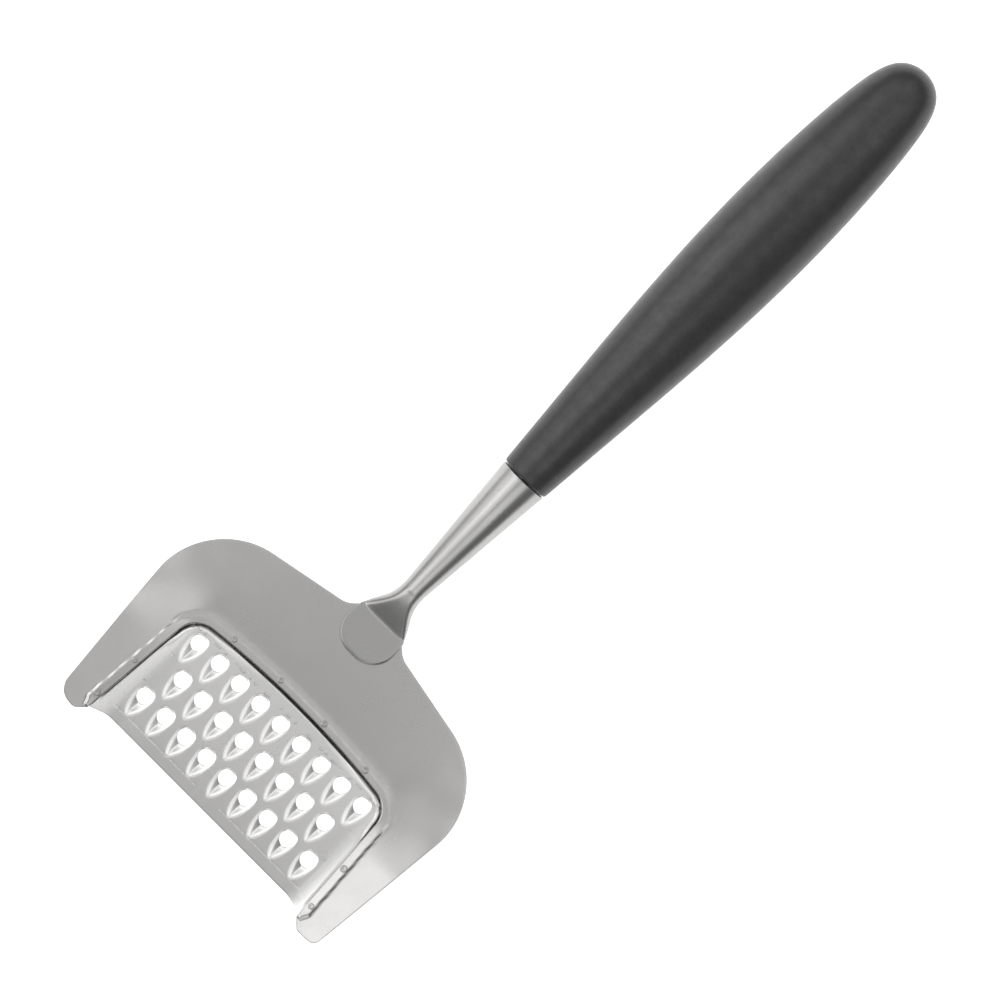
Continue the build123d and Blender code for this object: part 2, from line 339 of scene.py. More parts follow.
def capped_tube(rings: list[Array], first: Array, last: Array) -> tuple[Array, Faces]:
    """Join rings of points to a tube that is closed at both ends.

    Args:
        rings: Rings with the same number of points, in order along the tube.
        first: Middle of the cap on the first ring.
        last: Middle of the cap on the last ring.

    Returns:
        Points and faces of the closed tube.
    """
    count = len(rings[0])
    points = np.concatenate([*rings, [first], [last]])
    faces = grid_faces(len(rings), count, closed=True)
    start, stop, base = len(points) - 2, len(points) - 1, (len(rings) - 1) * count
    for here in range(count):
        following = (here + 1) % count
        faces.append((start, following, here))
        faces.append((stop, base + here, base + following))
    return points, faces


def thick_sheet(
    plan: Array, faces: Faces, levels: Levels, radius: float, splay: Field | None = None
) -> tuple[Array, Faces]:
    """Give a flat plan its two faces and a rounded edge all round its outline and holes.

    Args:
        plan: Points of the plan, x and y.
        faces: Faces of the plan, counter-clockwise seen from above.
        levels: Gives the under and top heights at x and y.
        radius: Radius of the rounded edges.
        splay: Gives how far the foot of the edge stands out from its top at x and y.

    Returns:
        Points and faces of a closed shell.
    """
    steps = 2
    used = {(a, b) for face in faces for a, b in zip(face, face[1:] + face[:1])}
    edges = [(a, b) for a, b in used if (b, a) not in used]
    edges.sort()
    outward = np.zeros_like(plan)
    for a, b in edges:
        run = plan[b] - plan[a]
        normal = np.array([run[1], -run[0]]) / max(float(np.hypot(*run)), TINY)
        outward[a] += normal
        outward[b] += normal
    border = sorted({a for a, _ in edges})
    size = np.linalg.norm(outward[border], axis=1, keepdims=True)
    mitre = np.clip(size / 2.0, 0.5, 1.0)
    outward[border] /= size * mitre
    place = {vertex: index for index, vertex in enumerate(border)}
    drawn_in = plan - outward * radius
    low_plan = drawn_in.copy()
    stand = np.zeros((len(border), 2))
    if splay:
        stand = outward[border] * splay(plan[border, 0], plan[border, 1])[:, None]
        low_plan[border] += stand
    top = levels(drawn_in[:, 0], drawn_in[:, 1])[1]
    under = levels(low_plan[:, 0], low_plan[:, 1])[0]
    count = len(plan)
    points = [np.column_stack([drawn_in, top]), np.column_stack([low_plan, under])]
    solid = list(faces) + [tuple(i + count for i in reversed(face)) for face in faces]
    rings = [border]
    turns = [math.pi / 2.0 * (i + 1) / steps for i in range(steps)]
    start = 2 * count
    for upper, turn in [(True, t) for t in turns] + [(False, t) for t in reversed(turns)]:
        spot = drawn_in[border] + outward[border] * radius * math.sin(turn)
        spot += 0.0 if upper else stand
        low, high = levels(spot[:, 0], spot[:, 1])
        dip = radius * (1.0 - math.cos(turn))
        points.append(np.column_stack([spot, high - dip if upper else low + dip]))
        rings.append(list(range(start, start + len(border))))
        start += len(border)
    rings.append([i + count for i in border])
    for ring, following in zip(rings, rings[1:]):
        for a, b in edges:
            i, j = place[a], place[b]
            solid.append((ring[j], ring[i], following[i], following[j]))
    return np.concatenate(points), solid


def linked(name: str, data: bpy.types.ID) -> bpy.types.Object:
    """Make an object and link it to the scene.

    Args:
        name: Name of the object.
        data: Its mesh, lamp or camera.

    Returns:
        The object, at the origin.
    """
    thing = bpy.data.objects.new(name, data)
    bpy.context.scene.collection.objects.link(thing)
    return thing


def make_piece(name: str, points: Array, faces: Faces, material: bpy.types.Material) -> bpy.types.Object:
    """Make a smooth object from points in the row frame, in millimetres.

    Args:
        name: Name of the object.
        points: Its points.
        faces: Its faces, with their fronts outwards.
        material: Its material.

    Returns:
        The object, linked to the scene at the origin.
    """
    mesh = bpy.data.meshes.new(name)
    mesh.from_pydata((points * MM).tolist(), [], faces)
    mesh.polygons.foreach_set("use_smooth", [True] * len(mesh.polygons))
    mesh.materials.append(material)
    mesh.update()
    mesh.normals_split_custom_set_from_vertices(area_normals(points, faces).tolist())
    return linked(name, mesh)


def plain_object(name: str, points: Array, faces: Faces) -> bpy.types.Object:
    """Make a helper object from points as they are.

    Args:
        name: Name of the object.
        points: Its points, in metres where it is seen.
        faces: Its faces, or none for loose points.

    Returns:
        The object, linked to the scene at the origin.
    """
    mesh = bpy.data.meshes.new(name)
    mesh.from_pydata(points.tolist(), [], faces)
    return linked(name, mesh)


def grown(
    thing: bpy.types.Object, tree: bpy.types.NodeTree, names: dict[str, str], values: dict[str, object]
) -> bpy.types.Mesh:
    """Run a geometry tree on an object and take its result as a plain mesh.

    Args:
        thing: Object that carries the tree while it runs.
        tree: The geometry tree.
        names: Identifier of each named input.
        values: Value of each named input.

    Returns:
        The finished mesh. The modifier is gone from the object.
    """
    modifier = thing.modifiers.new(tree.name, "NODES")
    modifier.node_group = tree
    for name, value in values.items():
        modifier[names[name]] = value
    graph = bpy.context.evaluated_depsgraph_get()
    mesh = bpy.data.meshes.new_from_object(thing.evaluated_get(graph), depsgraph=graph)
    thing.modifiers.remove(modifier)
    return mesh


def settle(piece: bpy.types.Object, slot: Slot, *nodes: str) -> bpy.types.Object:
    """Ride a piece on the one body, hide the CAD nodes that it stands for, and log its slot.

    Args:
        piece: The finished piece.
        slot: Its material slot.
        nodes: CAD nodes that it replaces.

    Returns:
        The piece.
    """
    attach(piece, BODY)
    if nodes:
        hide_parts(*nodes)
    LOG.info("%s: %d faces, slot %s", piece.name, len(piece.data.polygons), slot.value)
    return piece


# Finishes


class NodeSheet:
    """Short ways to add and join nodes in one tree."""

    def __init__(self, tree: bpy.types.NodeTree) -> None:
        """Keep the tree to draw in."""
        self.tree = tree

    def add(self, kind: str, **settings: object) -> bpy.types.Node:
        """Add a node and set its own properties.

        Args:
            kind: Type of the node.
            settings: Properties of the node, by name.

        Returns:
            The node.
        """
        node = self.tree.nodes.new(kind)
        for key, value in settings.items():
            setattr(node, key, value)
        return node

    def join(self, source: bpy.types.NodeSocket, target: bpy.types.NodeSocket) -> None:
        """Link an output to an input."""
        self.tree.links.new(source, target)

    def feed(self, target: bpy.types.NodeSocket, value: object) -> None:
        """Link value to an input if it is a socket, and otherwise set it there.

        Args:
            target: The input.
            value: An output, or a plain value.
        """
        if isinstance(value, bpy.types.NodeSocket):
            self.join(value, target)
        else:
            target.default_value = value

    def math(self, operation: str, *values: object, clamp: bool = False) -> bpy.types.NodeSocket:
        """Add a Math node on up to three values.

        Args:
            operation: What the node does.
            values: Outputs or plain numbers, in order.

        Returns:
            The node's output.
        """
        node = self.add("ShaderNodeMath", operation=operation, use_clamp=clamp)
        for socket, value in zip(node.inputs, values):
            self.feed(socket, value)
        return node.outputs[0]

    def end_tree(self, geometry: bpy.types.NodeSocket, material: bpy.types.NodeSocket) -> None:
        """End a geometry tree in Set Material and its output.

        Args:
            geometry: Output that gives the finished geometry.
            material: Output that gives its material.
        """
        dressed = self.add("GeometryNodeSetMaterial")
        self.join(geometry, dressed.inputs["Geometry"])
        self.join(material, dressed.inputs["Material"])
        self.join(dressed.outputs[0], self.add("NodeGroupOutput").inputs[0])

    def socket(self, name: str, kind: str, value: object = None, output: bool = False) -> str:
        """Add a named socket to the tree's interface.

        Args:
            name: Name of the socket.
            kind: Type of the socket.
            value: Its value where nothing is given.
            output: Whether it is an output.

        Returns:
            The socket's identifier.
        """
        way = "OUTPUT" if output else "INPUT"
        item = self.tree.interface.new_socket(name=name, in_out=way, socket_type=kind)
        if value is not None:
            item.default_value = value
        return item.identifier


def geometry_tree(
    name: str, kinds: dict[str, str]
) -> tuple[NodeSheet, dict[str, str], bpy.types.bpy_prop_collection]:
    """Start a geometry tree with named inputs and one output.

    Args:
        name: Name of the tree.
        kinds: Socket type of each named input, in order.

    Returns:
        The sheet to draw the tree on, the identifier of each input, and the inputs' sockets.
    """
    sheet = NodeSheet(bpy.data.node_groups.new(name, "GeometryNodeTree"))
    names = {label: sheet.socket(label, kind) for label, kind in kinds.items()}
    sheet.socket("Geometry", "NodeSocketGeometry", output=True)
    return sheet, names, sheet.add("NodeGroupInput").outputs


PATCH_DETAIL = 3.0
GRAIN_DETAIL = 2.0
# Parts that patches and grain have in the tone, and the range of it that is spread out
PATCH_PART = 0.6
GRAIN_PART = 0.4
TONE_RANGE = (0.35, 0.65)


def surface_grain() -> bpy.types.NodeTree:
    """Build the group that gives each finish its mottling, grain, fine lines and relief.

    Returns:
        The group, built at the first call.
    """
    name = "surface_grain"
    if name in bpy.data.node_groups:
        return bpy.data.node_groups[name]
    tree = bpy.data.node_groups.new(name, "ShaderNodeTree")
    sheet = NodeSheet(tree)
    sheet.socket("Dark", "NodeSocketColor", (0.5, 0.5, 0.5, 1.0))
    sheet.socket("Light", "NodeSocketColor", (0.6, 0.6, 0.6, 1.0))
    for label, value in (
        ("Patch Size", 0.012),
        ("Grain Size", 0.0004),
        ("Line Length", 20.0),
        ("Line Share", 0.5),
        ("Low Roughness", 0.3),
        ("High Roughness", 0.4),
        ("Relief", 0.00001),
    ):
        sheet.socket(label, "NodeSocketFloat", value)
    sheet.socket("Colour", "NodeSocketColor", output=True)
    sheet.socket("Roughness", "NodeSocketFloat", output=True)
    sheet.socket("Normal", "NodeSocketVector", output=True)
    given = sheet.add("NodeGroupInput").outputs
    result = sheet.add("NodeGroupOutput").inputs
    place = sheet.add("ShaderNodeTexCoord").outputs["Object"]

    def noise(size: object, detail: float, vector: bpy.types.NodeSocket) -> bpy.types.NodeSocket:
        """Add a noise whose features are about size across.

        Args:
            size: Width of a feature, in metres.
            detail: How many finer layers it has.
            vector: Place at which it is read.

        Returns:
            The noise's value.
        """
        node = sheet.add("ShaderNodeTexNoise")
        node.inputs["Detail"].default_value = detail
        sheet.join(sheet.math("DIVIDE", 1.0, size), node.inputs["Scale"])
        sheet.join(vector, node.inputs["Vector"])
        return node.outputs["Fac"]

    patches = noise(given["Patch Size"], PATCH_DETAIL, place)
    grain = noise(given["Grain Size"], GRAIN_DETAIL, place)
    squeeze = sheet.add("ShaderNodeVectorMath", operation="MULTIPLY")
    stretch = sheet.add("ShaderNodeCombineXYZ")
    for label in "XZ":
        stretch.inputs[label].default_value = 1.0
    sheet.join(sheet.math("DIVIDE", 1.0, given["Line Length"]), stretch.inputs["Y"])
    sheet.join(place, squeeze.inputs[0])
    sheet.join(stretch.outputs[0], squeeze.inputs[1])
    lines = noise(given["Grain Size"], GRAIN_DETAIL, squeeze.outputs[0])
    mixed = sheet.add("ShaderNodeMix", data_type="FLOAT")
    sheet.join(given["Line Share"], mixed.inputs["Factor"])
    sheet.join(grain, mixed.inputs["A"])
    sheet.join(lines, mixed.inputs["B"])
    fine = mixed.outputs["Result"]
    patch_tone = sheet.math("MULTIPLY", patches, PATCH_PART)
    tone = sheet.math("ADD", patch_tone, sheet.math("MULTIPLY", fine, GRAIN_PART))
    spread = sheet.add("ShaderNodeMapRange")
    for label, value in zip(("From Min", "From Max"), TONE_RANGE):
        spread.inputs[label].default_value = value
    sheet.join(tone, spread.inputs["Value"])
    colour = sheet.add("ShaderNodeMix", data_type="RGBA")
    sheet.join(spread.outputs["Result"], colour.inputs["Factor"])
    sheet.join(given["Dark"], colour.inputs["A"])
    sheet.join(given["Light"], colour.inputs["B"])
    rough = sheet.add("ShaderNodeMix", data_type="FLOAT")
    sheet.join(spread.outputs["Result"], rough.inputs["Factor"])
    sheet.join(given["High Roughness"], rough.inputs["A"])
    sheet.join(given["Low Roughness"], rough.inputs["B"])
    bump = sheet.add("ShaderNodeBump")
    sheet.join(given["Relief"], bump.inputs["Distance"])
    sheet.join(fine, bump.inputs["Height"])
    sheet.join(next(s for s in colour.outputs if s.type == "RGBA"), result["Colour"])
    sheet.join(rough.outputs["Result"], result["Roughness"])
    sheet.join(bump.outputs["Normal"], result["Normal"])
    return tree


@dataclass(frozen=True)
class Finish:
    """A surface made of mottled colour, fine grain and fine lines along the tool.

    Lengths are in millimetres.
    """

    slot: Slot
    dark: tuple[float, float, float]
    light: tuple[float, float, float]
    metallic: float = 1.0
    rough: tuple[float, float] = (0.28, 0.34)
    patch: float = 14.0
    grain: float = 0.35
    line_length: float = 25.0
    line_share: float = 0.6
    relief: float = 0.001
    specular: float = 0.5

    def build(self) -> bpy.types.Material:
        """Make the material, with the shared grain feeding its shader.

        Returns:
            The material, named for its slot.
        """
        material = bpy.data.materials.new(self.slot.value)
        material.use_nodes = True
        sheet = NodeSheet(material.node_tree)
        shader = material.node_tree.nodes["Principled BSDF"]
        shader.inputs["Metallic"].default_value = self.metallic
        shader.inputs["Specular IOR Level"].default_value = self.specular
        group = sheet.add("ShaderNodeGroup", node_tree=surface_grain())
        values = {
            "Dark": (*self.dark, 1.0),
            "Light": (*self.light, 1.0),
            "Patch Size": self.patch * MM,
            "Grain Size": self.grain * MM,
            "Line Length": self.line_length,
            "Line Share": self.line_share,
            "Low Roughness": self.rough[0],
            "High Roughness": self.rough[1],
            "Relief": self.relief * MM,
        }
        for label, value in values.items():
            group.inputs[label].default_value = value
        for label, target in (("Colour", "Base Color"), ("Roughness", "Roughness"), ("Normal", "Normal")):
            sheet.join(group.outputs[label], shader.inputs[target])
        material.diffuse_color = (*self.light, 1.0)
        return material


FINISHES = (
    Finish(Slot.SHEET, (0.46, 0.455, 0.45), (0.49, 0.485, 0.48), rough=(0.24, 0.28)),
    Finish(Slot.PLATE, (0.76, 0.755, 0.745), (0.79, 0.785, 0.775), rough=(0.24, 0.28)),
    Finish(Slot.WELD, (0.34, 0.335, 0.32), (0.48, 0.47, 0.455), rough=(0.30, 0.42), patch=0.8),
    Finish(Slot.NECK, (0.39, 0.387, 0.382), (0.425, 0.421, 0.416), rough=(0.27, 0.32)),
    Finish(Slot.ROD, (0.45, 0.445, 0.44), (0.50, 0.495, 0.49), rough=(0.34, 0.42)),
    Finish(
        Slot.GRIP,
        (0.030, 0.030, 0.031),
        (0.046, 0.046, 0.047),
        metallic=0.0,
        rough=(0.28, 0.36),
        patch=3.0,
        grain=0.5,
        line_length=1.5,
        line_share=0.3,
        relief=0.03,
        specular=0.42,
    ),
)


# Pose and section of the head


@dataclass(frozen=True)
class RestPose:
    """How the tool lies on the table, and where the grip's axis starts."""

    pitch: float = 13.092
    rear_edge: float = 60.498
    root_height: float = 4.25
    grip_angle: float = 17.0

    def head_to_row(self, points: Array) -> Array:
        """Turn points in head coordinates into the row frame.

        Args:
            points: Points as x across, y forward and z square to the sheet.

        Returns:
            The points in the row frame, in millimetres.
        """
        sine, cosine = math.sin(math.radians(self.pitch)), math.cos(math.radians(self.pitch))
        x, y, z = points[:, 0], points[:, 1], points[:, 2]
        return np.column_stack([x, self.rear_edge + y * cosine - z * sine, y * sine + z * cosine])

    def axis_to_row(self, points: Array) -> Array:
        """Turn points that are given along the grip's axis into the row frame.

        Args:
            points: Points as x across, distance back along the axis, and height over it.

        Returns:
            The points in the row frame, in millimetres.
        """
        tilt = math.radians(self.grip_angle)
        sine, cosine = math.sin(tilt), math.cos(tilt)
        x, along, up = points[:, 0], points[:, 1], points[:, 2]
        head = [x, -along * cosine + up * sine, self.root_height + along * sine + up * cosine]
        return self.head_to_row(np.column_stack(head))


@dataclass(frozen=True)
class Trough:
    """Section across the head: level floor, wide bend, straight wall and a lip.

    The bends fade out towards the back of the head.
    """

    floor_half_width: float = 29.5
    bend_radius: float = 20.0
    wall_angle: float = 15.0
    wall_length: float = 6.0
    curl_radius: float = 12.0
    lip_angle: float = 17.0
    softness: float = 12.0
    fade_start: float = 12.0
    fade_end: float = 44.0
    reach: float = 56.0
    grid_step: float = 0.05

    def profile(self) -> tuple[Array, Array, Array]:
        """Draw the underside of one half, with its bends softened.

        Returns:
            Places across from the middle, and the height and slope at each.
        """
        x = np.arange(0.0, self.reach, self.grid_step)
        wall, lip = math.radians(self.wall_angle), math.radians(self.lip_angle)
        wall_x = self.floor_half_width + self.bend_radius * math.sin(wall)
        curl_x = wall_x + self.wall_length * math.cos(wall)
        bend = np.arcsin(np.clip((x - self.floor_half_width) / self.bend_radius, 0.0, math.sin(wall)))
        turned = (x - curl_x) / self.curl_radius + math.sin(wall)
        curl = np.arcsin(np.clip(turned, math.sin(wall), math.sin(lip)))
        slope = np.where(x > curl_x, curl, bend)
        width = int(self.softness / self.grid_step)
        window = np.hanning(width + 2)[1:-1]
        padded = np.pad(slope, width, mode="edge")
        slope = np.convolve(padded, window / window.sum(), mode="same")[width:-width]
        height = np.concatenate([[0.0], np.cumsum(np.tan(slope[1:]) * self.grid_step)])
        return x, height, slope

    def share(self, station: Array) -> Array:
        """Give how much of the full bend there is at a station."""
        return smooth_ramp((station - self.fade_start) / (self.fade_end - self.fade_start))

    def surface(self, x: Array, station: Array, rise: Array | float) -> Array:
        """Give heights over the trough's underside.

        Args:
            x: Places across.
            station: Stations.
            rise: Distance from the underside, measured square to it.

        Returns:
            The height at each place.
        """
        grid, height, slope = self.profile()
        share = self.share(station)
        lean = np.interp(np.abs(x), grid, slope) * share
        return np.interp(np.abs(x), grid, height) * share + rise / np.cos(lean)

    def tilt(self, x: float, station: float) -> float:
        """Give the slope of the trough at a place, positive where it rises with x."""
        grid, _, slope = self.profile()
        return math.copysign(float(np.interp(abs(x), grid, slope) * self.share(np.array(station))), x)


@dataclass(frozen=True)
class Window:
    """Outline of the window in the head sheet, and of the rim and the plate grown from it."""

    back: float = 28.8
    sag: float = 2.3
    corner: float = 6.5
    depth: float = 36.8
    front_half_width: float = 35.6
    flare: float = 3.7
    rim_width: float = 2.3
    rim_end_cut: float = 2.4
    back_points: int = 90

    @property
    def front(self) -> float:
        """Station of the window's front end."""
        return self.back + self.depth

    @property
    def front_corner(self) -> tuple[float, float]:
        """Place where the straight side meets the window's front end."""
        return self.front_half_width, self.front

    def side_x(self, station: float) -> float:
        """Half width at a station, on the straight side."""
        return self.front_half_width - (self.front - station) * math.tan(math.radians(self.flare))

    def side_cut(self, grow: float) -> tuple[float, float]:
        """Give the place on the grown side where the rim turns in towards its end."""
        station = self.front - self.rim_end_cut
        return self.side_x(station) + grow, station

    def legs(self, grow: float) -> tuple[Array, tuple[float, float]]:
        """Draw the window's back edge, grown outwards.

        Args:
            grow: Distance by which the edge is grown.

        Returns:
            The back edge from its middle to its corner, and that corner.
        """
        station = self.back + self.sag - grow
        corner = (self.side_x(station) + grow, station)
        x = np.linspace(0.0, corner[0], self.back_points)
        return np.column_stack([x, self.back - grow + self.sag * (x / corner[0]) ** 2]), corner


POSE = RestPose()
TROUGH = Trough()
WINDOW = Window()


# Sub-assemblies


@dataclass
class HeadSheet:
    """Scoop-shaped sheet with its window, prongs and the stepped rim round the window."""

    thickness: float = 1.0
    step: float = 0.5
    rim_end_width: float = 1.0
    rim_end_radius: float = 1.0
    rim_step: float = 0.8
    ramp: float = 0.8
    back_ramp: float = 2.0
    back_drop: float = 0.45
    back_blend: float = 7.0
    droop: float = 0.07
    waver: float = 0.05
    wave_numbers: tuple[tuple[float, float], ...] = ((1.3, 0.9), (2.9, -1.7))
    wall_splay: float = 0.12
    splay_start: float = 0.6
    tab_half_width: float = 7.0
    tab_length: float = 2.6
    tab_spread: float = 2.6
    shoulder_slope: float = 11.1
    side_half_width: float = 47.8
    side_lean: float = 6.1
    prong_length: float = 2.4
    crook_radius: float = 0.4
    # Straight runs at a prong's tip and front, as shares of their radii
    tip_run: float = 0.8
    prong_run: float = 0.95
    # Distance before the window's front at which the grid's side ends
    stop_setback: float = 1.0
    edge_radius: float = 0.16
    corner_radii: tuple[float, float, float] = (0.5, 6.0, 21.0)
    prong_radii: dict[Side, float] = field(default_factory=lambda: {Side.RIGHT: 4.4, Side.LEFT: 2.2})
    tip_radii: dict[Side, float] = field(default_factory=lambda: {Side.RIGHT: 1.6, Side.LEFT: 0.6})
    steps_along: tuple[int, int, int] = (96, 96, 20)
    near_columns: int = 17
    far_columns: int = 24
    near_width: float = 3.6
    near_share: float = 0.45

    def side_x(self, station: float) -> float:
        """Half width of the head at a station, on its straight side."""
        return self.side_half_width + (WINDOW.back - station) * math.tan(math.radians(self.side_lean))

    def shoulder(self) -> tuple[float, float]:
        """Give the corner where the straight shoulder and the straight side would meet.

        Returns:
            The corner's place across and its station.
        """
        run = math.tan(math.radians(self.shoulder_slope))
        start = self.tab_half_width + self.tab_spread
        level = self.side_x(self.tab_length - start * run)
        x = level / (1 + run * math.tan(math.radians(self.side_lean)))
        return x, self.tab_length + (x - start) * run

    def inner_path(self, side: Side) -> tuple[Array, list[float]]:
        """Draw the window's edge from its middle to the prong's tip.

        Args:
            side: Half of the head, whose prong has its own rounding.

        Returns:
            The path, and the running lengths at its ends and at the window's corner and front.
        """
        back, corner = WINDOW.legs(0.0)
        front = WINDOW.front_corner
        tip = (front[0] + self.prong_length, front[1] + self.prong_length)
        end = (tip[0] + self.tip_radii[side] * self.tip_run, tip[1])
        radii = [WINDOW.corner, self.crook_radius, self.tip_radii[side]]
        path, marks = rounded_path([back, *runs(corner, front, tip, end)], radii, PATH_STEP)
        return path, [0.0, marks[0], marks[1], path_lengths(path)[-1]]

    def outer_path(self, side: Side) -> tuple[Array, list[float]]:
        """Draw the sheet's outline from its middle to the prong's front.

        Args:
            side: Half of the head, whose prong has its own rounding.

        Returns:
            The path, and the running lengths at its ends, at the shoulder and beside the front.
        """
        spread = (self.tab_half_width + self.tab_spread, self.tab_length)
        front = WINDOW.front + self.prong_length
        corner = (self.side_x(front), front)
        end = (corner[0] - self.prong_radii[side] * self.prong_run, front)
        legs = runs((0.0, 0.0), (self.tab_half_width, 0.0), spread, self.shoulder(), corner, end)
        path, marks = rounded_path(legs, [*self.corner_radii, self.prong_radii[side]], PATH_STEP)
        running = path_lengths(path)
        station = WINDOW.front - self.stop_setback
        beside = running[np.argmax((path[:, 1] > station) & (running > marks[2]))]
        return path, [0.0, marks[2], float(beside), running[-1]]

    def plan(self) -> tuple[Array, Faces]:
        """Lay a grid of points between the window's edge and the outline, round from tip to tip.

        Returns:
            Points and faces of the plan.
        """
        halves = []
        for side in (Side.LEFT, Side.RIGHT):
            inner = matched(*self.inner_path(side), self.steps_along)
            outer = matched(*self.outer_path(side), self.steps_along)
            reach = np.linalg.norm(outer - inner, axis=1, keepdims=True)
            near = np.minimum(self.near_width, self.near_share * reach)
            close = near * np.linspace(0.0, 1.0, self.near_columns)
            spread = (reach - near) * np.linspace(0.0, 1.0, self.far_columns)[1:]
            share = np.concatenate([close, near + spread], axis=1) / reach
            rows = inner[:, None, :] + (outer - inner)[:, None, :] * share[:, :, None]
            rows[:, :, 0] *= side.value
            halves.append(rows[::-1] if side is Side.LEFT else rows[1:])
        grid = np.concatenate(halves)
        return grid.reshape(-1, 2), grid_faces(grid.shape[0], grid.shape[1])

    def rim_loop(self) -> Array:
        """Draw the outer line of the stepped rim, closed across the front.

        Returns:
            Points of the closed line.
        """
        back, corner = WINDOW.legs(WINDOW.rim_width)
        end = (WINDOW.front_half_width + self.rim_end_width, WINDOW.front)
        legs = [back, *runs(corner, WINDOW.side_cut(WINDOW.rim_width), end)]
        radii = [WINDOW.corner + WINDOW.rim_width, self.rim_end_radius]
        return mirrored(rounded_path(legs, radii, self.rim_step)[0])

    def levels(self, x: Array, y: Array) -> tuple[Array, Array]:
        """Give the sheet's heights, stepped up inside the rim.

        Args:
            x: Places across.
            y: Stations.

        Returns:
            The under and top heights at each place.
        """
        inside = signed_distance(x, y, self.rim_loop())
        behind = 1.0 - smooth_ramp((y - WINDOW.back - WINDOW.sag) / self.back_blend)
        wave = self.waver * sum(np.sin(across * x + along * y) for across, along in self.wave_numbers)
        step = self.step * (1.0 - self.back_drop * behind)
        lift = step * smooth_ramp((inside + wave) / (self.ramp + self.back_ramp * behind) + 0.5)
        droop = self.droop * (1.0 - 2.0 * behind) * np.clip(inside - self.ramp / 2.0, 0.0, None)
        return TROUGH.surface(x, y, lift), TROUGH.surface(x, y, lift + self.thickness - droop)

    def splay(self, x: Array, y: Array) -> Array:
        """Give how far the foot of the window's wall stands out into the window."""
        return self.wall_splay * smooth_ramp(signed_distance(x, y, self.rim_loop()) - self.splay_start)

    def build(self, material: bpy.types.Material) -> bpy.types.Object:
        """Make the sheet, which stands for the CAD head frame.

        Args:
            material: The sheet's steel.

        Returns:
            The finished piece.
        """
        plan, faces = self.plan()
        points, solid = thick_sheet(plan, faces, self.levels, self.edge_radius, self.splay)
        piece = make_piece("head_sheet", POSE.head_to_row(points), solid, material)
        return settle(piece, Slot.SHEET, "head_frame")


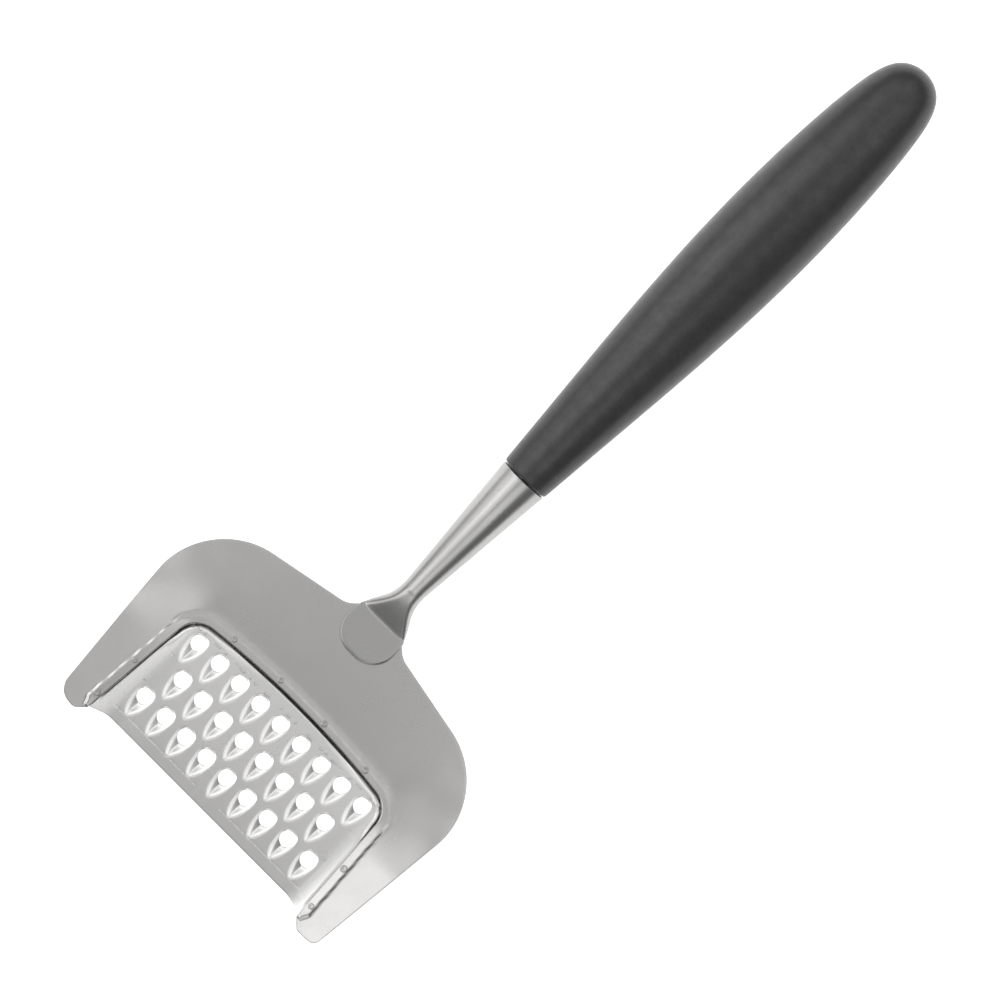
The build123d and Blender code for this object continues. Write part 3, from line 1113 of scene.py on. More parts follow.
@dataclass
class GraterPlate:
    """Plate under the window, with rows of round mouths and a keeled dimple ahead of each."""

    thickness: float = 0.5
    lap: float = 2.0
    front_setback: float = 2.2
    ear_setback: float = 0.2
    ear_width: float = 4.6
    ear_reach: float = 0.7
    corner_round: float = 0.4
    front_round: float = 8.0
    pitch: float = 7.0
    row_pitch: float = 9.2
    first_row_gap: float = 6.5
    teeth: int = 9
    rows: int = 3
    mouth_radius: float = 2.0
    half_width: float = 2.45
    length: float = 6.5
    nose_limit: float = 1.2
    nose_power: float = 2.2
    nose_fullness: float = 0.72
    shoulder_width: float = 0.72
    shoulder_slope: float = 0.2
    shoulder_round: float = 0.2
    facet_slope: float = 0.48
    facet_round: float = 0.16
    keel_round: float = 0.03
    mouth_fade: float = 1.0
    lip_depth: float = 0.3
    lip_width: float = 0.5
    tooth_middle: float = 2.0
    groove_depth: float = 0.8
    groove_width: float = 0.95
    groove_sides: dict[Side, float] = field(default_factory=lambda: {Side.RIGHT: 0.45, Side.LEFT: 0.2})
    groove_fade: float = 9.0
    groove_thinning: float = 0.5
    # Where the groove starts to fade before the front, and over what length, in laps
    groove_end: tuple[float, float] = (3.0, 2.0)
    groove_step: float = 0.4
    tile_back: float = 2.6
    tile_steps: tuple[int, int] = (20, 26)
    tile_rings: int = 12
    weld_gap: float = 0.02
    margin_shares: tuple[float, ...] = (
        0.0, 0.15, 0.3, 0.45, 0.48, 0.51, 0.54, 0.57, 0.6, 0.64, 0.68, 0.72, 0.85, 1.0,
    )
    edge_radius: float = 0.12

    @property
    def first_station(self) -> float:
        """Station of the back row's mouths."""
        return WINDOW.back + self.first_row_gap

    def tile(self) -> tuple[Array, Faces]:
        """Draw one tooth's tile: rays from its mouth to the edge of its place in the row.

        Returns:
            Plan points round the mouth's centre, and faces.
        """
        wide, long = self.tile_steps
        half, back, front = self.pitch / 2, -self.tile_back, self.row_pitch - self.tile_back
        corners = [(half, back), (half, front), (-half, front), (-half, back), (half, back)]
        edge = []
        for start, stop, count in zip(corners, corners[1:], (long, wide, long, wide)):
            share = np.linspace(0.0, 1.0, count + 1)[:-1, None]
            edge.append(np.array(start) * (1 - share) + np.array(stop) * share)
        outer = np.concatenate(edge)
        inner = self.mouth_radius * outer / np.linalg.norm(outer, axis=1, keepdims=True)
        share = np.linspace(0.0, 1.0, self.tile_rings + 1)[:, None, None]
        grid = inner * (1 - share) + outer * share
        faces = [face[::-1] for face in grid_faces(grid.shape[0], grid.shape[1], closed=True)]
        return grid.reshape(-1, 2), faces

    def rows_tree(self) -> tuple[bpy.types.NodeTree, dict[str, str]]:
        """Build the node tree that lays tiles out in staggered rows.

        Returns:
            The tree, and the identifier of each named input.
        """
        kinds = {
            "Geometry": "NodeSocketGeometry",
            "Tile": "NodeSocketObject",
            "Pitch": "NodeSocketFloat",
            "Row Pitch": "NodeSocketFloat",
            "First Station": "NodeSocketFloat",
            "Teeth": "NodeSocketInt",
            "Rows": "NodeSocketInt",
            "Weld Gap": "NodeSocketFloat",
            "Material": "NodeSocketMaterial",
        }
        sheet, names, given = geometry_tree("tooth_rows", kinds)
        index = sheet.add("GeometryNodeInputIndex").outputs[0]
        row = sheet.math("FLOOR", sheet.math("DIVIDE", index, given["Teeth"]))
        column = sheet.math("SUBTRACT", index, sheet.math("MULTIPLY", row, given["Teeth"]))
        odd = sheet.math("MODULO", row, 2.0)
        last = sheet.math("SUBTRACT", given["Teeth"], 1.0)
        centred = sheet.math("SUBTRACT", column, sheet.math("MULTIPLY", last, 0.5))
        shifted = sheet.math("ADD", centred, sheet.math("MULTIPLY", odd, 0.5))
        spot = sheet.add("ShaderNodeCombineXYZ")
        sheet.join(sheet.math("MULTIPLY", shifted, given["Pitch"]), spot.inputs["X"])
        ahead = sheet.math("MULTIPLY", row, given["Row Pitch"])
        sheet.join(sheet.math("ADD", ahead, given["First Station"]), spot.inputs["Y"])
        points = sheet.add("GeometryNodePoints")
        sheet.join(sheet.math("MULTIPLY", given["Teeth"], given["Rows"]), points.inputs["Count"])
        sheet.join(spot.outputs[0], points.inputs["Position"])
        spare = sheet.math("MULTIPLY", odd, sheet.math("COMPARE", column, last, 0.5))
        delete = sheet.add("GeometryNodeDeleteGeometry", domain="POINT")
        sheet.join(points.outputs[0], delete.inputs["Geometry"])
        sheet.join(spare, delete.inputs["Selection"])
        tile = sheet.add("GeometryNodeObjectInfo")
        sheet.join(given["Tile"], tile.inputs["Object"])
        laid = sheet.add("GeometryNodeInstanceOnPoints")
        sheet.join(delete.outputs[0], laid.inputs["Points"])
        sheet.join(tile.outputs["Geometry"], laid.inputs["Instance"])
        real = sheet.add("GeometryNodeRealizeInstances")
        sheet.join(laid.outputs[0], real.inputs[0])
        merged = sheet.add("GeometryNodeMergeByDistance")
        sheet.join(real.outputs[0], merged.inputs["Geometry"])
        sheet.join(given["Weld Gap"], merged.inputs["Distance"])
        sheet.end_tree(merged.outputs[0], given["Material"])
        return sheet.tree, names

    def toothed(self, material: bpy.types.Material) -> tuple[Array, Faces]:
        """Lay the tiles out in their rows.

        Args:
            material: The plate's steel, which the tree sets.

        Returns:
            Plan points and faces of the block of teeth.
        """
        points, faces = self.tile()
        tile = plain_object("tooth_tile", np.column_stack([points, np.zeros(len(points))]), faces)
        block = plain_object("tooth_block", np.zeros((1, 3)), [])
        tree, names = self.rows_tree()
        values = {
            "Tile": tile,
            "Pitch": self.pitch,
            "Row Pitch": self.row_pitch,
            "First Station": self.first_station,
            "Teeth": self.teeth,
            "Rows": self.rows,
            "Weld Gap": self.weld_gap,
            "Material": material,
        }
        mesh = grown(block, tree, names, values)
        plan = np.empty(len(mesh.vertices) * 3)
        mesh.vertices.foreach_get("co", plan)
        faces = [tuple(polygon.vertices) for polygon in mesh.polygons]
        for thing in (tile, block):
            bpy.data.objects.remove(thing)
        return plan.reshape(-1, 3)[:, :2], faces

    def blanks(self) -> list[tuple[Array, Faces]]:
        """Fill the half places at both ends of each short row.

        Returns:
            Plan points and faces of each filling.
        """
        wide, long = self.tile_steps
        half_row = self.pitch * self.teeth / 2
        pieces = []
        for row in range(1, self.rows, 2):
            back = self.first_station + row * self.row_pitch - self.tile_back
            y = np.linspace(back, back + self.row_pitch, long + 1)
            for start in (-half_row, half_row - self.pitch / 2):
                x = np.linspace(start, start + self.pitch / 2, wide // 2 + 1)
                grid = np.stack(np.meshgrid(x, y), axis=-1)
                pieces.append((grid.reshape(-1, 2), grid_faces(len(y), len(x))))
        return pieces

    def margin(self, side: Side) -> tuple[Array, Faces]:
        """Fill one half of the ring between the block of teeth and the plate's outline.

        Args:
            side: Which half.

        Returns:
            Plan points and faces of the half ring.
        """
        wide, long = self.tile_steps
        back, corner = WINDOW.legs(self.lap)
        ear = (WINDOW.front_half_width + self.ear_reach, WINDOW.front - self.ear_setback)
        front = WINDOW.front - self.front_setback
        straight = (WINDOW.front_half_width - self.ear_width, front)
        legs = [back, *runs(corner, WINDOW.side_cut(self.lap), ear, straight, (0.0, front))]
        radii = [WINDOW.corner + self.lap, self.corner_round, self.corner_round, self.front_round]
        outline, marks = rounded_path(legs, radii, PATH_STEP)
        half_row = self.pitch * self.teeth / 2
        low = self.first_station - self.tile_back
        high = low + self.rows * self.row_pitch
        block = line((0.0, low), (half_row, low), (half_row, high), (0.0, high))
        counts = [wide * self.teeth // 2, long * self.rows, wide * self.teeth // 2]
        stops = [0.0, half_row, half_row + high - low, 2 * half_row + high - low]
        inner = matched(block, stops, counts)
        outer = matched(outline, [0.0, marks[0], marks[2], path_lengths(outline)[-1]], counts)
        share = np.array(self.margin_shares)[:, None, None]
        grid = inner * (1 - share) + outer * share
        faces = grid_faces(grid.shape[0], grid.shape[1])
        if side is Side.RIGHT:
            faces = [face[::-1] for face in faces]
        return (grid * (side.value, 1.0)).reshape(-1, 2), faces

    def places(self) -> list[tuple[float, float]]:
        """List the mouth centres of all the teeth.

        Returns:
            Place across and station of each.
        """
        spots = []
        for row in range(self.rows):
            count = self.teeth - row % 2
            for column in range(count):
                x = (column - (count - 1) / 2) * self.pitch
                spots.append((x, self.first_station + row * self.row_pitch))
        return spots

    def pressed(self, x: Array, y: Array) -> Array:
        """Give how far the plate is pressed down at each point, by every tooth.

        Args:
            x: Places across.
            y: Stations.

        Returns:
            The depth at each place.
        """
        down = np.zeros_like(x)
        step = self.facet_slope - self.shoulder_slope
        for centre_x, centre_y in self.places():
            ahead, across = y - centre_y, np.abs(x - centre_x)
            reach = np.clip(ahead / self.length, 0.0, self.nose_limit)
            width = self.half_width * np.clip(1.0 - reach**self.nose_power, 0.0, 1.0) ** self.nose_fullness
            width = width - self.half_width * np.clip(reach - 1.0, 0.0, 1.0)
            wall = soft_min(width - across, width, self.keel_round)
            hollow = self.shoulder_slope * soft_floor(wall, self.shoulder_round)
            hollow = hollow + step * soft_floor(wall - self.shoulder_width, self.facet_round)
            hollow = hollow * smooth_ramp(1.0 + ahead / self.mouth_fade)
            gap = np.hypot(across, ahead) - self.mouth_radius
            lip = np.clip(1.0 - gap / self.lip_width, 0.0, 1.0) ** 2
            lip = self.lip_depth * lip * smooth_ramp(-ahead / self.mouth_radius)
            near = (np.abs(ahead - self.tooth_middle) < self.row_pitch) & (across < self.pitch)
            down = np.where(near, np.maximum(down, hollow + lip), down)
        return down

    def groove(self, x: Array, y: Array) -> Array:
        """Give how far the plate dips along the window's edge: most at the back and its corners.

        Args:
            x: Places across.
            y: Stations.

        Returns:
            The depth of the dip at each place.
        """
        back, corner = WINDOW.legs(0.0)
        front = WINDOW.front_corner
        legs = [back, *runs(corner, front, (front[0], front[1] + self.lap))]
        half, _ = rounded_path(legs, [WINDOW.corner, self.corner_round], self.groove_step)
        across = np.abs(signed_distance(x, y, mirrored(half)))
        along = smooth_ramp((y - WINDOW.back - WINDOW.corner) / self.groove_fade)
        side = np.where(x > 0.0, self.groove_sides[Side.RIGHT], self.groove_sides[Side.LEFT])
        depth = self.groove_depth * (1.0 - along * (1.0 - side))
        width = self.groove_width * (1.0 - self.groove_thinning * along)
        start, length = (laps * self.lap for laps in self.groove_end)
        open_end = 1.0 - smooth_ramp((y - WINDOW.front + start) / length)
        return depth * open_end * np.clip(1.0 - across / width, 0.0, 1.0)

    def levels(self, x: Array, y: Array) -> tuple[Array, Array]:
        """Give the plate's under and top heights, pressed down at its teeth and its edge."""
        down = self.pressed(x, y) + self.groove(x, y)
        return TROUGH.surface(x, y, 0.0) - down, TROUGH.surface(x, y, self.thickness) - down

    def build(self, material: bpy.types.Material) -> bpy.types.Object:
        """Make the plate, which stands for the CAD plate.

        Args:
            material: The plate's steel.

        Returns:
            The finished piece.
        """
        parts = [self.toothed(material), *self.blanks(), self.margin(Side.LEFT), self.margin(Side.RIGHT)]
        plan, faces = np.empty((0, 2)), []
        for points, rings in parts:
            faces += [tuple(i + len(plan) for i in ring) for ring in rings]
            plan = np.concatenate([plan, points])
        plan, faces = welded(plan, faces, self.weld_gap)
        faces = [face if turns_left(plan, face) else face[::-1] for face in faces]
        points, solid = thick_sheet(plan, faces, self.levels, self.edge_radius)
        piece = make_piece("toothed_plate", POSE.head_to_row(points), solid, material)
        return settle(piece, Slot.PLATE, "grater_plate")


@dataclass
class WeldMarks:
    """Small ring-shaped weld marks on the rim, behind the window and at its sides."""

    radius: float = 0.9
    height: float = 0.13
    pitch: float = 15.0
    at_back: int = 4
    side_offset: float = 20.7
    side_pitch: float = 12.0
    at_side: int = 2
    lift: float = 1.5
    sink: float = 0.08
    smallest: float = 0.8
    largest: float = 1.05
    section: tuple[tuple[float, float], ...] = (
        (0.0, 0.45), (0.25, 0.5), (0.5, 0.85), (0.68, 1.0), (0.85, 0.75), (1.0, 0.0),
    )
    spin: int = 18
    seed: int = 7

    def seats(self) -> list[tuple[float, float]]:
        """Give the places of the marks in plan: a row behind the window and some at each side.

        Returns:
            Place across and station of each mark.
        """
        middle = WINDOW.rim_width / 2
        spots = []
        for index in range(self.at_back):
            x = (index - (self.at_back - 1) / 2) * self.pitch
            sag = WINDOW.sag * (x / WINDOW.side_x(WINDOW.back)) ** 2
            spots.append((x, WINDOW.back + sag - middle))
        for index in range(self.at_side):
            station = WINDOW.back + self.side_offset + index * self.side_pitch
            for side in Side:
                spots.append((side.value * (WINDOW.side_x(station) + middle), station))
        return spots

    def nugget(self) -> tuple[Array, Faces]:
        """Turn one mark: a low ring with a dimple in its middle, closed below.

        Returns:
            Its points in millimetres, and its faces.
        """
        rings = [(self.radius * out, self.height * up) for out, up in self.section]
        rings.append((self.radius, -self.sink))
        points = [(0.0, 0.0, rings[0][1])]
        for radius, level in rings[1:]:
            for step in range(self.spin):
                turn = 2 * math.pi * step / self.spin
                points.append((radius * math.cos(turn), radius * math.sin(turn), level))
        points.append((0.0, 0.0, -self.sink))
        following = [(step + 1) % self.spin for step in range(self.spin)]
        faces: Faces = [(0, 1 + step, 1 + after) for step, after in enumerate(following)]
        for ring in range(len(rings) - 2):
            here, below = 1 + ring * self.spin, 1 + (ring + 1) * self.spin
            for step, after in enumerate(following):
                faces.append((here + step, below + step, below + after, here + after))
        last, foot = len(points) - 1, 1 + (len(rings) - 2) * self.spin
        faces += [(last, foot + after, foot + step) for step, after in enumerate(following)]
        return np.array(points), faces

    def marks_tree(self) -> tuple[bpy.types.NodeTree, dict[str, str]]:
        """Build the node tree that seats a mark on each point, square to the sheet there.

        Returns:
            The tree, and the identifier of each named input.
        """
        kinds = {
            "Geometry": "NodeSocketGeometry",
            "Mark": "NodeSocketObject",
            "Smallest": "NodeSocketFloat",
            "Largest": "NodeSocketFloat",
            "Seed": "NodeSocketInt",
            "Material": "NodeSocketMaterial",
        }
        sheet, names, given = geometry_tree("weld_marks", kinds)
        mark = sheet.add("GeometryNodeObjectInfo")
        sheet.join(given["Mark"], mark.inputs["Object"])
        square = sheet.add("GeometryNodeInputNamedAttribute", data_type="FLOAT_VECTOR")
        square.inputs["Name"].default_value = "square"
        turn = sheet.add("FunctionNodeAlignRotationToVector", axis="Z")
        sheet.join(square.outputs[0], turn.inputs["Vector"])
        size = sheet.add("FunctionNodeRandomValue", data_type="FLOAT")
        low, high = [s for s in size.inputs if s.name in ("Min", "Max") and s.type == "VALUE"][:2]
        sheet.join(given["Smallest"], low)
        sheet.join(given["Largest"], high)
        sheet.join(given["Seed"], size.inputs["Seed"])
        laid = sheet.add("GeometryNodeInstanceOnPoints")
        sheet.join(given["Geometry"], laid.inputs["Points"])
        sheet.join(mark.outputs["Geometry"], laid.inputs["Instance"])
        sheet.join(turn.outputs[0], laid.inputs["Rotation"])
        sheet.join(next(s for s in size.outputs if s.type == "VALUE"), laid.inputs["Scale"])
        real = sheet.add("GeometryNodeRealizeInstances")
        sheet.join(laid.outputs[0], real.inputs[0])
        sheet.end_tree(real.outputs[0], given["Material"])
        return sheet.tree, names

    def build(self, material: bpy.types.Material) -> bpy.types.Object:
        """Make all the marks as one piece, which stands for the CAD beads.

        Args:
            material: The marks' material.

        Returns:
            The finished piece.
        """
        spots, squares = [], []
        for x, y in self.seats():
            tilt = TROUGH.tilt(x, y)
            height = float(TROUGH.surface(np.array([x]), np.array([y]), self.lift)[0])
            ends = np.array([(x, y, height), (x - math.sin(tilt), y, height + math.cos(tilt))])
            ends = POSE.head_to_row(ends)
            spots.append(ends[0] * MM)
            squares.append(ends[1] - ends[0])
        holder = plain_object("weld_seats", np.array(spots), [])
        attribute = holder.data.attributes.new("square", "FLOAT_VECTOR", "POINT")
        attribute.data.foreach_set("vector", np.array(squares).ravel())
        points, faces = self.nugget()
        mark = plain_object("weld_mark", points * MM, faces)
        mark.data.polygons.foreach_set("use_smooth", [True] * len(mark.data.polygons))
        tree, names = self.marks_tree()
        values = {"Mark": mark, "Smallest": self.smallest, "Largest": self.largest}
        values |= {"Seed": self.seed, "Material": material}
        piece = linked("weld_rings", grown(holder, tree, names, values))
        for thing in (mark, holder):
            bpy.data.objects.remove(thing)
        return settle(piece, Slot.WELD, "plate_welds")


@dataclass
class Neck:
    """Steel neck: a pad on the sheet, a flattened foot with a slanting facet, and a round cone."""

    pad_half_width: float = 7.5
    pad_length: float = 10.6
    pad_corner: float = 6.4
    pad_bottom: float = 1.0
    pad_sink: float = 0.02
    pad_top: float = 2.2
    pad_edge: float = 0.15
    pad_back: float = 1.2
    pad_splay: float = 0.1
    pad_splay_left: float = 0.12
    pad_back_inset: float = 0.35
    pad_root_inset: float = 0.25
    pad_side_setback: float = 0.8
    pad_corner_slack: float = 0.05
    pad_turns: tuple[float, float, float] = (0.3, 1.5, 3.0)
    pad_step: float = 0.35
    # The pad's middle lies at its length divided by this
    pad_centre: float = 2.2
    pad_inner: float = 0.1
    pad_rings: int = 9
    facet_length: float = 10.4
    facet_half_width: float = 5.1
    facet_taper: float = 1.65
    facet_start: float = 1.6
    facet_lead: float = 0.8
    facet_ease: float = 0.25
    crease: float = 0.6
    # Share of the facet's length where the cut starts to lift off, and over what share
    crease_fade: tuple[float, float] = (0.8, 0.2)
    # How far forward in the pad the foot's first ring lies, and how far below its top
    buried: float = 1.2
    buried_depth: float = 0.05
    small_radius: float = 3.25
    large_radius: float = 6.5
    foot_length: float = 12.8
    length: float = 48.9
    end_round: float = 0.4
    foot_back: tuple[float, ...] = (-1.8, 0.0, 1.2, 2.8, 4.3, 5.8, 7.4, 9.5, 12.3, 13.5)
    foot_half_width: tuple[float, ...] = (7.5, 7.2, 6.7, 5.9, 4.95, 4.05, 3.45, 3.13, 3.25, 3.37)
    widest_lift: float = 0.55
    # Distance back and height of the knee in the underside
    low_knee: tuple[float, float] = (8.1, 3.95)
    base_inset: float = 0.4
    base_fade: float = 9.0
    lean_fade: float = 12.0
    facet_points: int = 240
    foot_rings: int = 52
    cone_rings: int = 40
    end_rings: int = 4
    top_steps: int = 26
    low_steps: int = 12
    flat_steps: int = 6

    def section(
        self, width: float, top: float, middle: float, bottom: float, base: float, cut: float | None = None
    ) -> Array:
        """Draw one closed section, x and height, from the middle of its top round to it again.

        Args:
            width: Half width at the middle height.
            top: Height of the top.
            middle: Height of the widest place.
            bottom: Height of the underside.
            base: Half width of the flat underneath.
            cut: Height at which the slanting facet cuts the top off.

        Returns:
            The section's points.
        """
        turn = np.linspace(0.0, math.pi / 2.0, self.top_steps + 1)
        low = np.linspace(0.0, math.pi / 2.0, self.low_steps + 1)[1:]
        lower = np.linspace(base, 0.0, self.flat_steps + 1)[1:]
        crown = middle + (top - middle) * np.cos(turn)
        if cut is not None:
            crown = soft_min(crown, np.full_like(crown, cut), self.crease)
        x = np.concatenate([width * np.sin(turn), base + (width - base) * np.cos(low), lower])
        belly = middle + (bottom - middle) * np.sin(low)
        z = np.concatenate([crown, belly, np.full(len(lower), bottom)])
        return mirrored(np.column_stack([x, z]), meets=True)

    @property
    def growth(self) -> float:
        """How much the round neck's radius grows along its axis, per length."""
        return (self.large_radius - self.small_radius) / (self.length - self.foot_length)

    def axis_top(self, back: float, end: float, rise: float) -> float:
        """Height of the round neck's top, read back along its taper.

        Args:
            back: Distance back from the sheet's rear edge.
            end: The same distance at the start of the round neck.
            rise: Climb of the axis for each step back.

        Returns:
            The height in head coordinates.
        """
        lean = math.cos(math.radians(POSE.grip_angle))
        radius = self.small_radius - self.growth * (end - back) / lean
        return POSE.root_height + back * rise + radius / lean

    def axis_low(self, back: float, rise: float) -> float:
        """Height of the round neck's underside at a distance back from the sheet's rear edge."""
        lean = math.cos(math.radians(POSE.grip_angle))
        return POSE.root_height + back * rise - self.small_radius / lean

    def facet_profile(self, height: float, rise: float) -> tuple[Array, Array]:
        """Draw the line of the slanting facet, over the pad.

        It leaves the pad in a short curve, runs steep and straight, and eases into the cone.

        Args:
            height: Height of the facet's end over the pad.
            rise: Slope with which the facet ends.

        Returns:
            Distances back from the sheet's rear edge, and the height over the pad at each.
        """
        whole = self.facet_length + self.facet_lead
        back = np.linspace(0.0, whole, self.facet_points)
        start = smooth_ramp(back / self.facet_start)
        steep = start * smooth_ramp((1.0 - back / whole) / (1.0 - self.facet_ease))
        low, high = np.cumsum(start), np.cumsum(steep)
        step = back[1]
        extra = (height - rise * low[-1] * step) / (high[-1] * step)
        return back - self.facet_lead, (rise * (low - low[0]) + extra * (high - high[0])) * step

    def foot(self) -> list[Array]:
        """Draw the foot's sections in head coordinates, from inside the pad to the round cone.

        A flaring body is cut by a facet that starts steep at the pad and ends along the cone.

        Returns:
            The sections, in order away from the head.
        """
        rise = math.tan(math.radians(POSE.grip_angle))
        stretch = 1.0 / math.cos(math.radians(POSE.grip_angle))
        end = self.foot_length * math.cos(math.radians(POSE.grip_angle))
        climb = rise + self.growth * stretch**2
        apex = self.axis_top(self.facet_length, end, rise)
        facet_back, facet_rise = self.facet_profile(apex - self.pad_top, climb)
        knee_back, knee_height = self.low_knee
        low_backs = (0.0, knee_back, end)
        low_heights = (self.pad_bottom + self.pad_sink, knee_height, self.axis_low(end, rise))
        fade_start, fade_span = self.crease_fade
        rings = []
        for back in np.concatenate([[-self.buried], np.linspace(-self.facet_lead, end, self.foot_rings)]):
            ahead = max(float(back), 0.0)
            share = min(ahead / self.facet_length, 1.0)
            settled = ramp_at(share)
            axis = POSE.root_height + ahead * rise
            width = float(spline(self.foot_back, self.foot_half_width, back))
            middle = (self.pad_bottom + self.widest_lift) * (1.0 - settled) + axis * settled
            facet = self.pad_top + float(np.interp(back, facet_back, facet_rise))
            facet_width = self.facet_half_width * (1.0 - share) ** self.facet_taper
            top = middle + (facet - middle) / math.sqrt(1.0 - (facet_width / width) ** 2)
            top = top if share < 1.0 else self.axis_top(float(back), end, rise)
            freed = 2.0 * self.crease * ramp_at((share - fade_start) / fade_span)
            cut = facet + freed if back > -self.facet_lead else self.pad_top - self.buried_depth
            low = float(np.interp(back, low_backs, low_heights))
            base = max(0.0, (width - self.base_inset) * (1.0 - ramp_at(back / self.base_fade)))
            outline = self.section(width, top, middle, low, base, cut if share < 1.0 else None)
            rings.append(np.column_stack([outline[:, 0], np.full(len(outline), -back), outline[:, 1]]))
        return rings

    def cone(self) -> list[Array]:
        """Draw the cone's sections in axis coordinates, with its rounded end.

        Returns:
            The sections, in order away from the head.
        """
        reach = list(np.linspace(self.foot_length, self.length - self.end_round, self.cone_rings))
        radii = [self.small_radius + self.growth * (along - self.foot_length) for along in reach]
        for turn in np.linspace(0.0, math.pi / 2.0, self.end_rings + 1)[1:]:
            reach.append(self.length - self.end_round * (1.0 - math.sin(turn)))
            radii.append(self.large_radius - self.end_round * (1.0 - math.cos(turn)))
        rings = []
        lean = math.tan(math.radians(POSE.grip_angle))
        for along, radius in zip(reach, radii):
            outline = self.section(radius, radius, 0.0, -radius, 0.0)
            fade = 1.0 - ramp_at((along - self.foot_length) / self.lean_fade)
            shift = outline[:, 1] * lean * fade
            rings.append(np.column_stack([outline[:, 0], along + shift, outline[:, 1]]))
        return rings

    def pad(self) -> tuple[Array, Faces]:
        """Draw the pad with its rounded front, as a thick sheet in head coordinates.

        Returns:
            Its points and faces.
        """
        foot_width = float(spline(self.foot_back, self.foot_half_width, self.pad_back))
        back = (foot_width - self.pad_back_inset, -self.pad_back)
        root = (self.pad_half_width - self.pad_root_inset, 0.0)
        side = (self.pad_half_width, self.pad_length - self.pad_corner - self.pad_side_setback)
        corner = (self.pad_half_width, self.pad_length)
        legs = runs((0.0, back[1]), back, root, side, corner, (0.0, self.pad_length))
        radii = [*self.pad_turns, self.pad_corner - self.pad_corner_slack]
        outline = mirrored(rounded_path(legs, radii, self.pad_step)[0], meets=True)
        centre = np.array([0.0, self.pad_length / self.pad_centre])
        share = np.linspace(1.0, self.pad_inner, self.pad_rings)[:, None, None]
        grid = centre + (outline - centre) * share
        faces = grid_faces(len(share), len(outline), closed=True)
        points = np.concatenate([grid.reshape(-1, 2), [centre]])
        last, start = len(points) - 1, (len(share) - 1) * len(outline)
        for here in range(len(outline)):
            faces.append((start + here, start + (here + 1) % len(outline), last))

        def levels(x: Array, y: Array) -> tuple[Array, Array]:
            """Give the pad's under and top heights."""
            return np.full_like(x, self.pad_bottom + self.pad_sink), np.full_like(x, self.pad_top)

        def splay(x: Array, y: Array) -> Array:
            """Give how far the pad's edge slopes out: more on the left than on the right."""
            return self.pad_splay + self.pad_splay_left * smooth_ramp(0.5 - x / self.pad_half_width)

        return thick_sheet(points, faces, levels, self.pad_edge, splay)

    def build(self, material: bpy.types.Material) -> bpy.types.Object:
        """Make the neck, which stands for the CAD neck.

        Args:
            material: The neck's steel.

        Returns:
            The finished piece.
        """
        rings = [POSE.head_to_row(ring) for ring in self.foot()]
        rings += [POSE.axis_to_row(ring) for ring in self.cone()[1:]]
        points, faces = capped_tube(rings, rings[0].mean(0), rings[-1].mean(0))
        shell, sides = self.pad()
        faces += [tuple(i + len(points) for i in face) for face in sides]
        points = np.concatenate([points, POSE.head_to_row(shell)])
        piece = make_piece("forged_neck", points, faces, material)
        return settle(piece, Slot.NECK, "neck")


@dataclass
class Grip:
    """Turned black grip: a straight cone, a round belly and a blunt end."""

    start: float = 49.2
    length: float = 137.5
    front_radius: float = 6.65
    front_round: float = 0.6
    end_start: float = 95.0
    end_power: float = 8.5
    tail_share: float = 0.9
    spin: int = 112
    body_rings: int = 110
    tail_rings: int = 24
    front_rings: int = 4
    stations: tuple[float, ...] = (
        0.0, 20.0, 40.0, 51.1, 58.4, 65.7, 72.9, 80.2,
        85.0, 94.8, 102.1, 109.3, 116.6, 123.9, 131.2, 137.5,
    )
    radii: tuple[float, ...] = (
        6.65, 8.4, 10.15, 11.0, 11.45, 11.85, 12.12, 12.26,
        12.3, 12.15, 11.9, 11.49, 10.92, 10.22, 9.72, 9.65,
    )

    def radius_at(self, reach: Array) -> Array:
        """Give the grip's radius at distances from its front, blunt at its far end."""
        share = np.clip((reach - self.end_start) / (self.length - self.end_start), 0.0, 1.0)
        return spline(self.stations, self.radii, reach) * np.sqrt(1.0 - share**self.end_power)

    def build(self, material: bpy.types.Material) -> bpy.types.Object:
        """Make the grip, which stands for the CAD grip.

        Args:
            material: The grip's black finish.

        Returns:
            The finished piece.
        """
        tail = self.length * self.tail_share
        body = np.linspace(self.front_round, tail, self.body_rings)
        turn = np.linspace(0.0, math.pi / 2.0, self.tail_rings + 2)[1:-1]
        reach = np.concatenate([body, tail + (self.length - tail) * np.sin(turn)])
        radii = self.radius_at(reach)
        for angle in np.linspace(math.pi / 2.0, 0.0, self.front_rings + 1)[1:]:
            back = self.front_round * (1.0 - math.sin(angle))
            reach = np.concatenate([[self.front_round - self.front_round * math.cos(angle)], reach])
            radii = np.concatenate([[self.front_radius - back], radii])
        spin = np.linspace(0.0, 2 * math.pi, self.spin, endpoint=False)
        rings = []
        for along, radius in zip(reach, radii):
            ring = [radius * np.sin(spin), np.full(self.spin, self.start + along), radius * np.cos(spin)]
            rings.append(np.column_stack(ring))
        front = np.array([0.0, self.start, 0.0])
        end = np.array([0.0, self.start + self.length, 0.0])
        points, faces = capped_tube(rings, front, end)
        piece = make_piece("black_grip", POSE.axis_to_row(points), faces, material)
        return settle(piece, Slot.GRIP, "grip")


# Stage


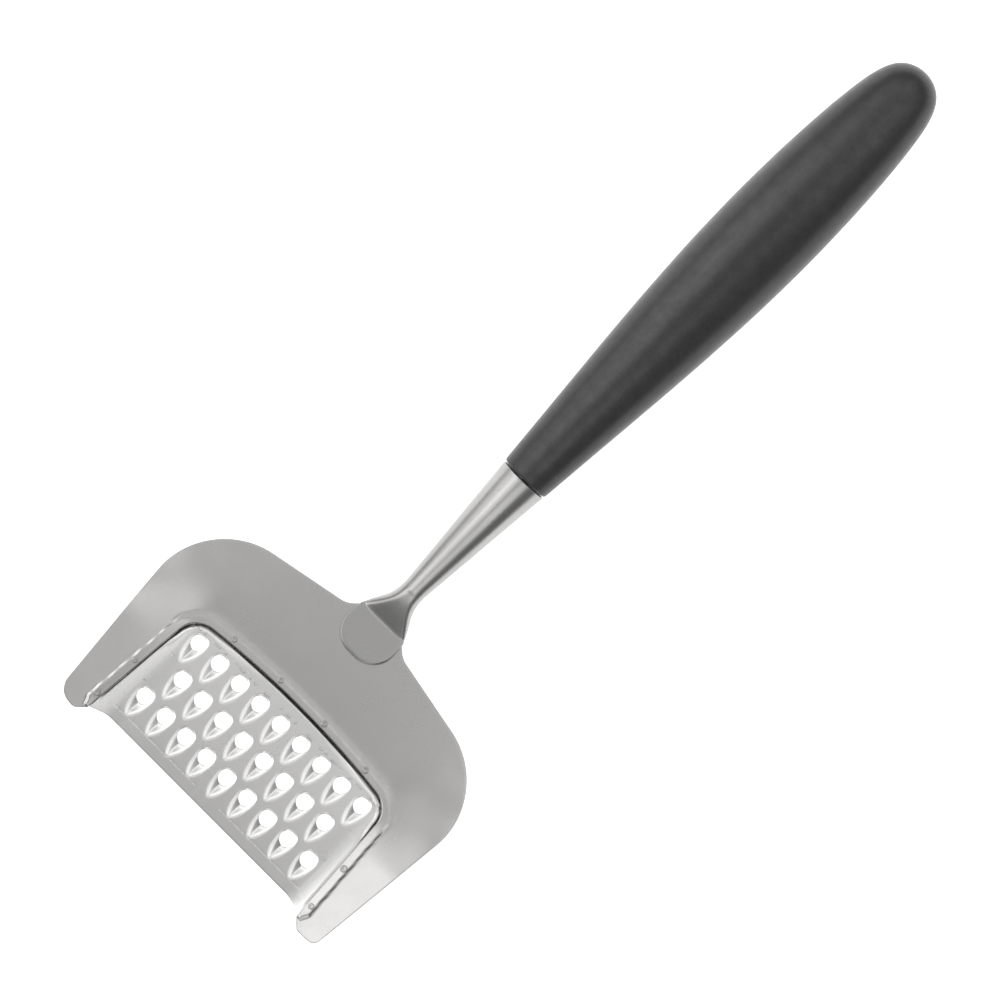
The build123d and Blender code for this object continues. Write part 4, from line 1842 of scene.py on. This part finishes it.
@dataclass(frozen=True)
class Panel:
    """A soft light panel, aimed at the middle of the tool.

    Angles are from straight up, and round from the head's +x side towards its front. A name tells
    the side as it lies in the photograph, where +x points up and to the left.
    """

    name: str
    off_zenith: float
    round_up: float
    power: float
    size: float = 0.42
    distance: float = 0.7
    aim: tuple[float, float, float] = (0.0, 0.03, 0.01)

    def build(self) -> None:
        """Hang the panel, out of the camera's sight."""
        light = bpy.data.lights.new(self.name, "AREA")
        light.shape = "DISK"
        light.size = self.size
        light.energy = self.power
        lean, turn = math.radians(self.off_zenith), math.radians(self.round_up)
        away = Vector((math.sin(lean) * math.cos(turn), math.sin(lean) * math.sin(turn), math.cos(lean)))
        lamp = linked(self.name, light)
        lamp.location = Vector(self.aim) + away * self.distance
        lamp.rotation_euler = away.to_track_quat("Z", "Y").to_euler()
        lamp.visible_camera = False


PANELS = (
    Panel("panel_left_high", 33.0, 0.0, 0.70),
    Panel("panel_left_front_high", 30.0, 45.0, 0.52),
    Panel("panel_front_high", 34.0, 90.0, 0.20),
    Panel("panel_right_front_high", 30.0, 135.0, 0.52),
    Panel("panel_right_grip_high", 30.0, 225.0, 0.35),
    Panel("panel_grip_high", 30.0, 270.0, 0.18),
    Panel("panel_left_grip_high", 30.0, 315.0, 0.17),
    Panel("panel_left_low", 56.0, 0.0, 0.68),
    Panel("panel_left_front_low", 56.0, 45.0, 0.61),
    Panel("panel_front_low", 56.0, 90.0, 0.10),
    Panel("panel_right_front_low", 56.0, 135.0, 0.10),
    Panel("panel_right_grip_low", 52.0, 225.0, 0.28),
    Panel("panel_grip_low", 54.0, 270.0, 0.36),
    Panel("panel_left_grip_low", 52.0, 315.0, 0.40),
    Panel("panel_left_grip_side", 58.0, 337.0, 0.08),
    Panel("panel_left_lowest", 76.0, 0.0, 0.25),
)


@dataclass(frozen=True)
class Studio:
    """White floor, an even and dim surround, and the panels."""

    surround: float = 0.2
    floor_half_size: float = 4.0
    floor_glow: float = 0.8
    paper_colour: tuple[float, float, float, float] = (0.8, 0.8, 0.8, 1.0)

    def build(self) -> None:
        """Lay the floor, light the surround and hang the panels."""
        world = bpy.data.worlds.new("surround")
        world.use_nodes = True
        background = world.node_tree.nodes["Background"]
        background.inputs["Color"].default_value = WHITE
        background.inputs["Strength"].default_value = self.surround
        bpy.context.scene.world = world
        reach = self.floor_half_size
        corners = [(-reach, -reach, 0.0), (reach, -reach, 0.0), (reach, reach, 0.0), (-reach, reach, 0.0)]
        floor = plain_object("floor", np.array(corners), [(0, 1, 2, 3)])
        floor.data.materials.append(self.paper())
        for panel in PANELS:
            panel.build()

    def paper(self) -> bpy.types.Material:
        """Make the floor's white paper, which also shows white to the camera and in the steel.

        Returns:
            The material.
        """
        material = bpy.data.materials.new("white_paper")
        material.use_nodes = True
        sheet = NodeSheet(material.node_tree)
        nodes = material.node_tree.nodes
        nodes.remove(nodes["Principled BSDF"])
        matt = sheet.add("ShaderNodeBsdfDiffuse")
        matt.inputs["Color"].default_value = self.paper_colour
        glow = sheet.add("ShaderNodeEmission")
        glow.inputs["Color"].default_value = WHITE
        path = sheet.add("ShaderNodeLightPath")
        seen = sheet.math("MAXIMUM", path.outputs["Is Camera Ray"], path.outputs["Is Glossy Ray"])
        seen = sheet.math("MAXIMUM", seen, path.outputs["Is Transmission Ray"])
        sheet.join(sheet.math("MULTIPLY", seen, self.floor_glow), glow.inputs["Strength"])
        both = sheet.add("ShaderNodeAddShader")
        sheet.join(matt.outputs[0], both.inputs[0])
        sheet.join(glow.outputs[0], both.inputs[1])
        sheet.join(both.outputs[0], nodes["Material Output"].inputs["Surface"])
        return material


@dataclass(frozen=True)
class PhotoCamera:
    """Camera over the table, as it stood for the photograph.

    The spot and the sensor are in millimetres, and the clip distances in metres.
    """

    spot: tuple[float, float, float] = (-29.2, 9.96, 900.0)
    lean_x: float = 0.54
    lean_y: float = -1.91
    roll: float = 135.16
    focal_pixels: float = 3669.0
    image_pixels: float = 1000.0
    sensor: float = 36.0
    clip: tuple[float, float] = (0.05, 50.0)

    def build(self) -> None:
        """Set the camera up as the scene's own."""
        data = bpy.data.cameras.new("photo_camera")
        data.sensor_width = self.sensor
        data.lens = self.sensor * self.focal_pixels / self.image_pixels
        data.clip_start, data.clip_end = self.clip
        turn = Matrix.Identity(3)
        for angle, axis in ((self.lean_x, "X"), (self.lean_y, "Y"), (-self.roll, "Z")):
            turn = turn @ Matrix.Rotation(math.radians(angle), 3, axis)
        camera = linked("photo_camera", data)
        camera.matrix_world = Matrix.Translation(Vector(self.spot) * MM) @ turn.to_4x4()
        bpy.context.scene.camera = camera


def dress_rod(material: bpy.types.Material) -> None:
    """Give the CAD tang its steel, which shows in the thin joint before the grip.

    Args:
        material: The rod's steel.
    """
    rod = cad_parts["tang"]
    for slot in rod.material_slots:
        slot.material = material
    LOG.info("tang: CAD node kept, slot %s", Slot.ROD.value)


def main() -> None:
    """Build the finishes, the pieces, the stage and the camera."""
    logging.basicConfig(level=logging.INFO, format="%(name)s %(message)s")
    finishes = {finish.slot: finish.build() for finish in FINISHES}
    HeadSheet().build(finishes[Slot.SHEET])
    GraterPlate().build(finishes[Slot.PLATE])
    WeldMarks().build(finishes[Slot.WELD])
    Neck().build(finishes[Slot.NECK])
    Grip().build(finishes[Slot.GRIP])
    dress_rod(finishes[Slot.ROD])
    Studio().build()
    PhotoCamera().build()
    bpy.context.scene.view_settings.view_transform = "Standard"


if __name__ == "__main__":
    main()
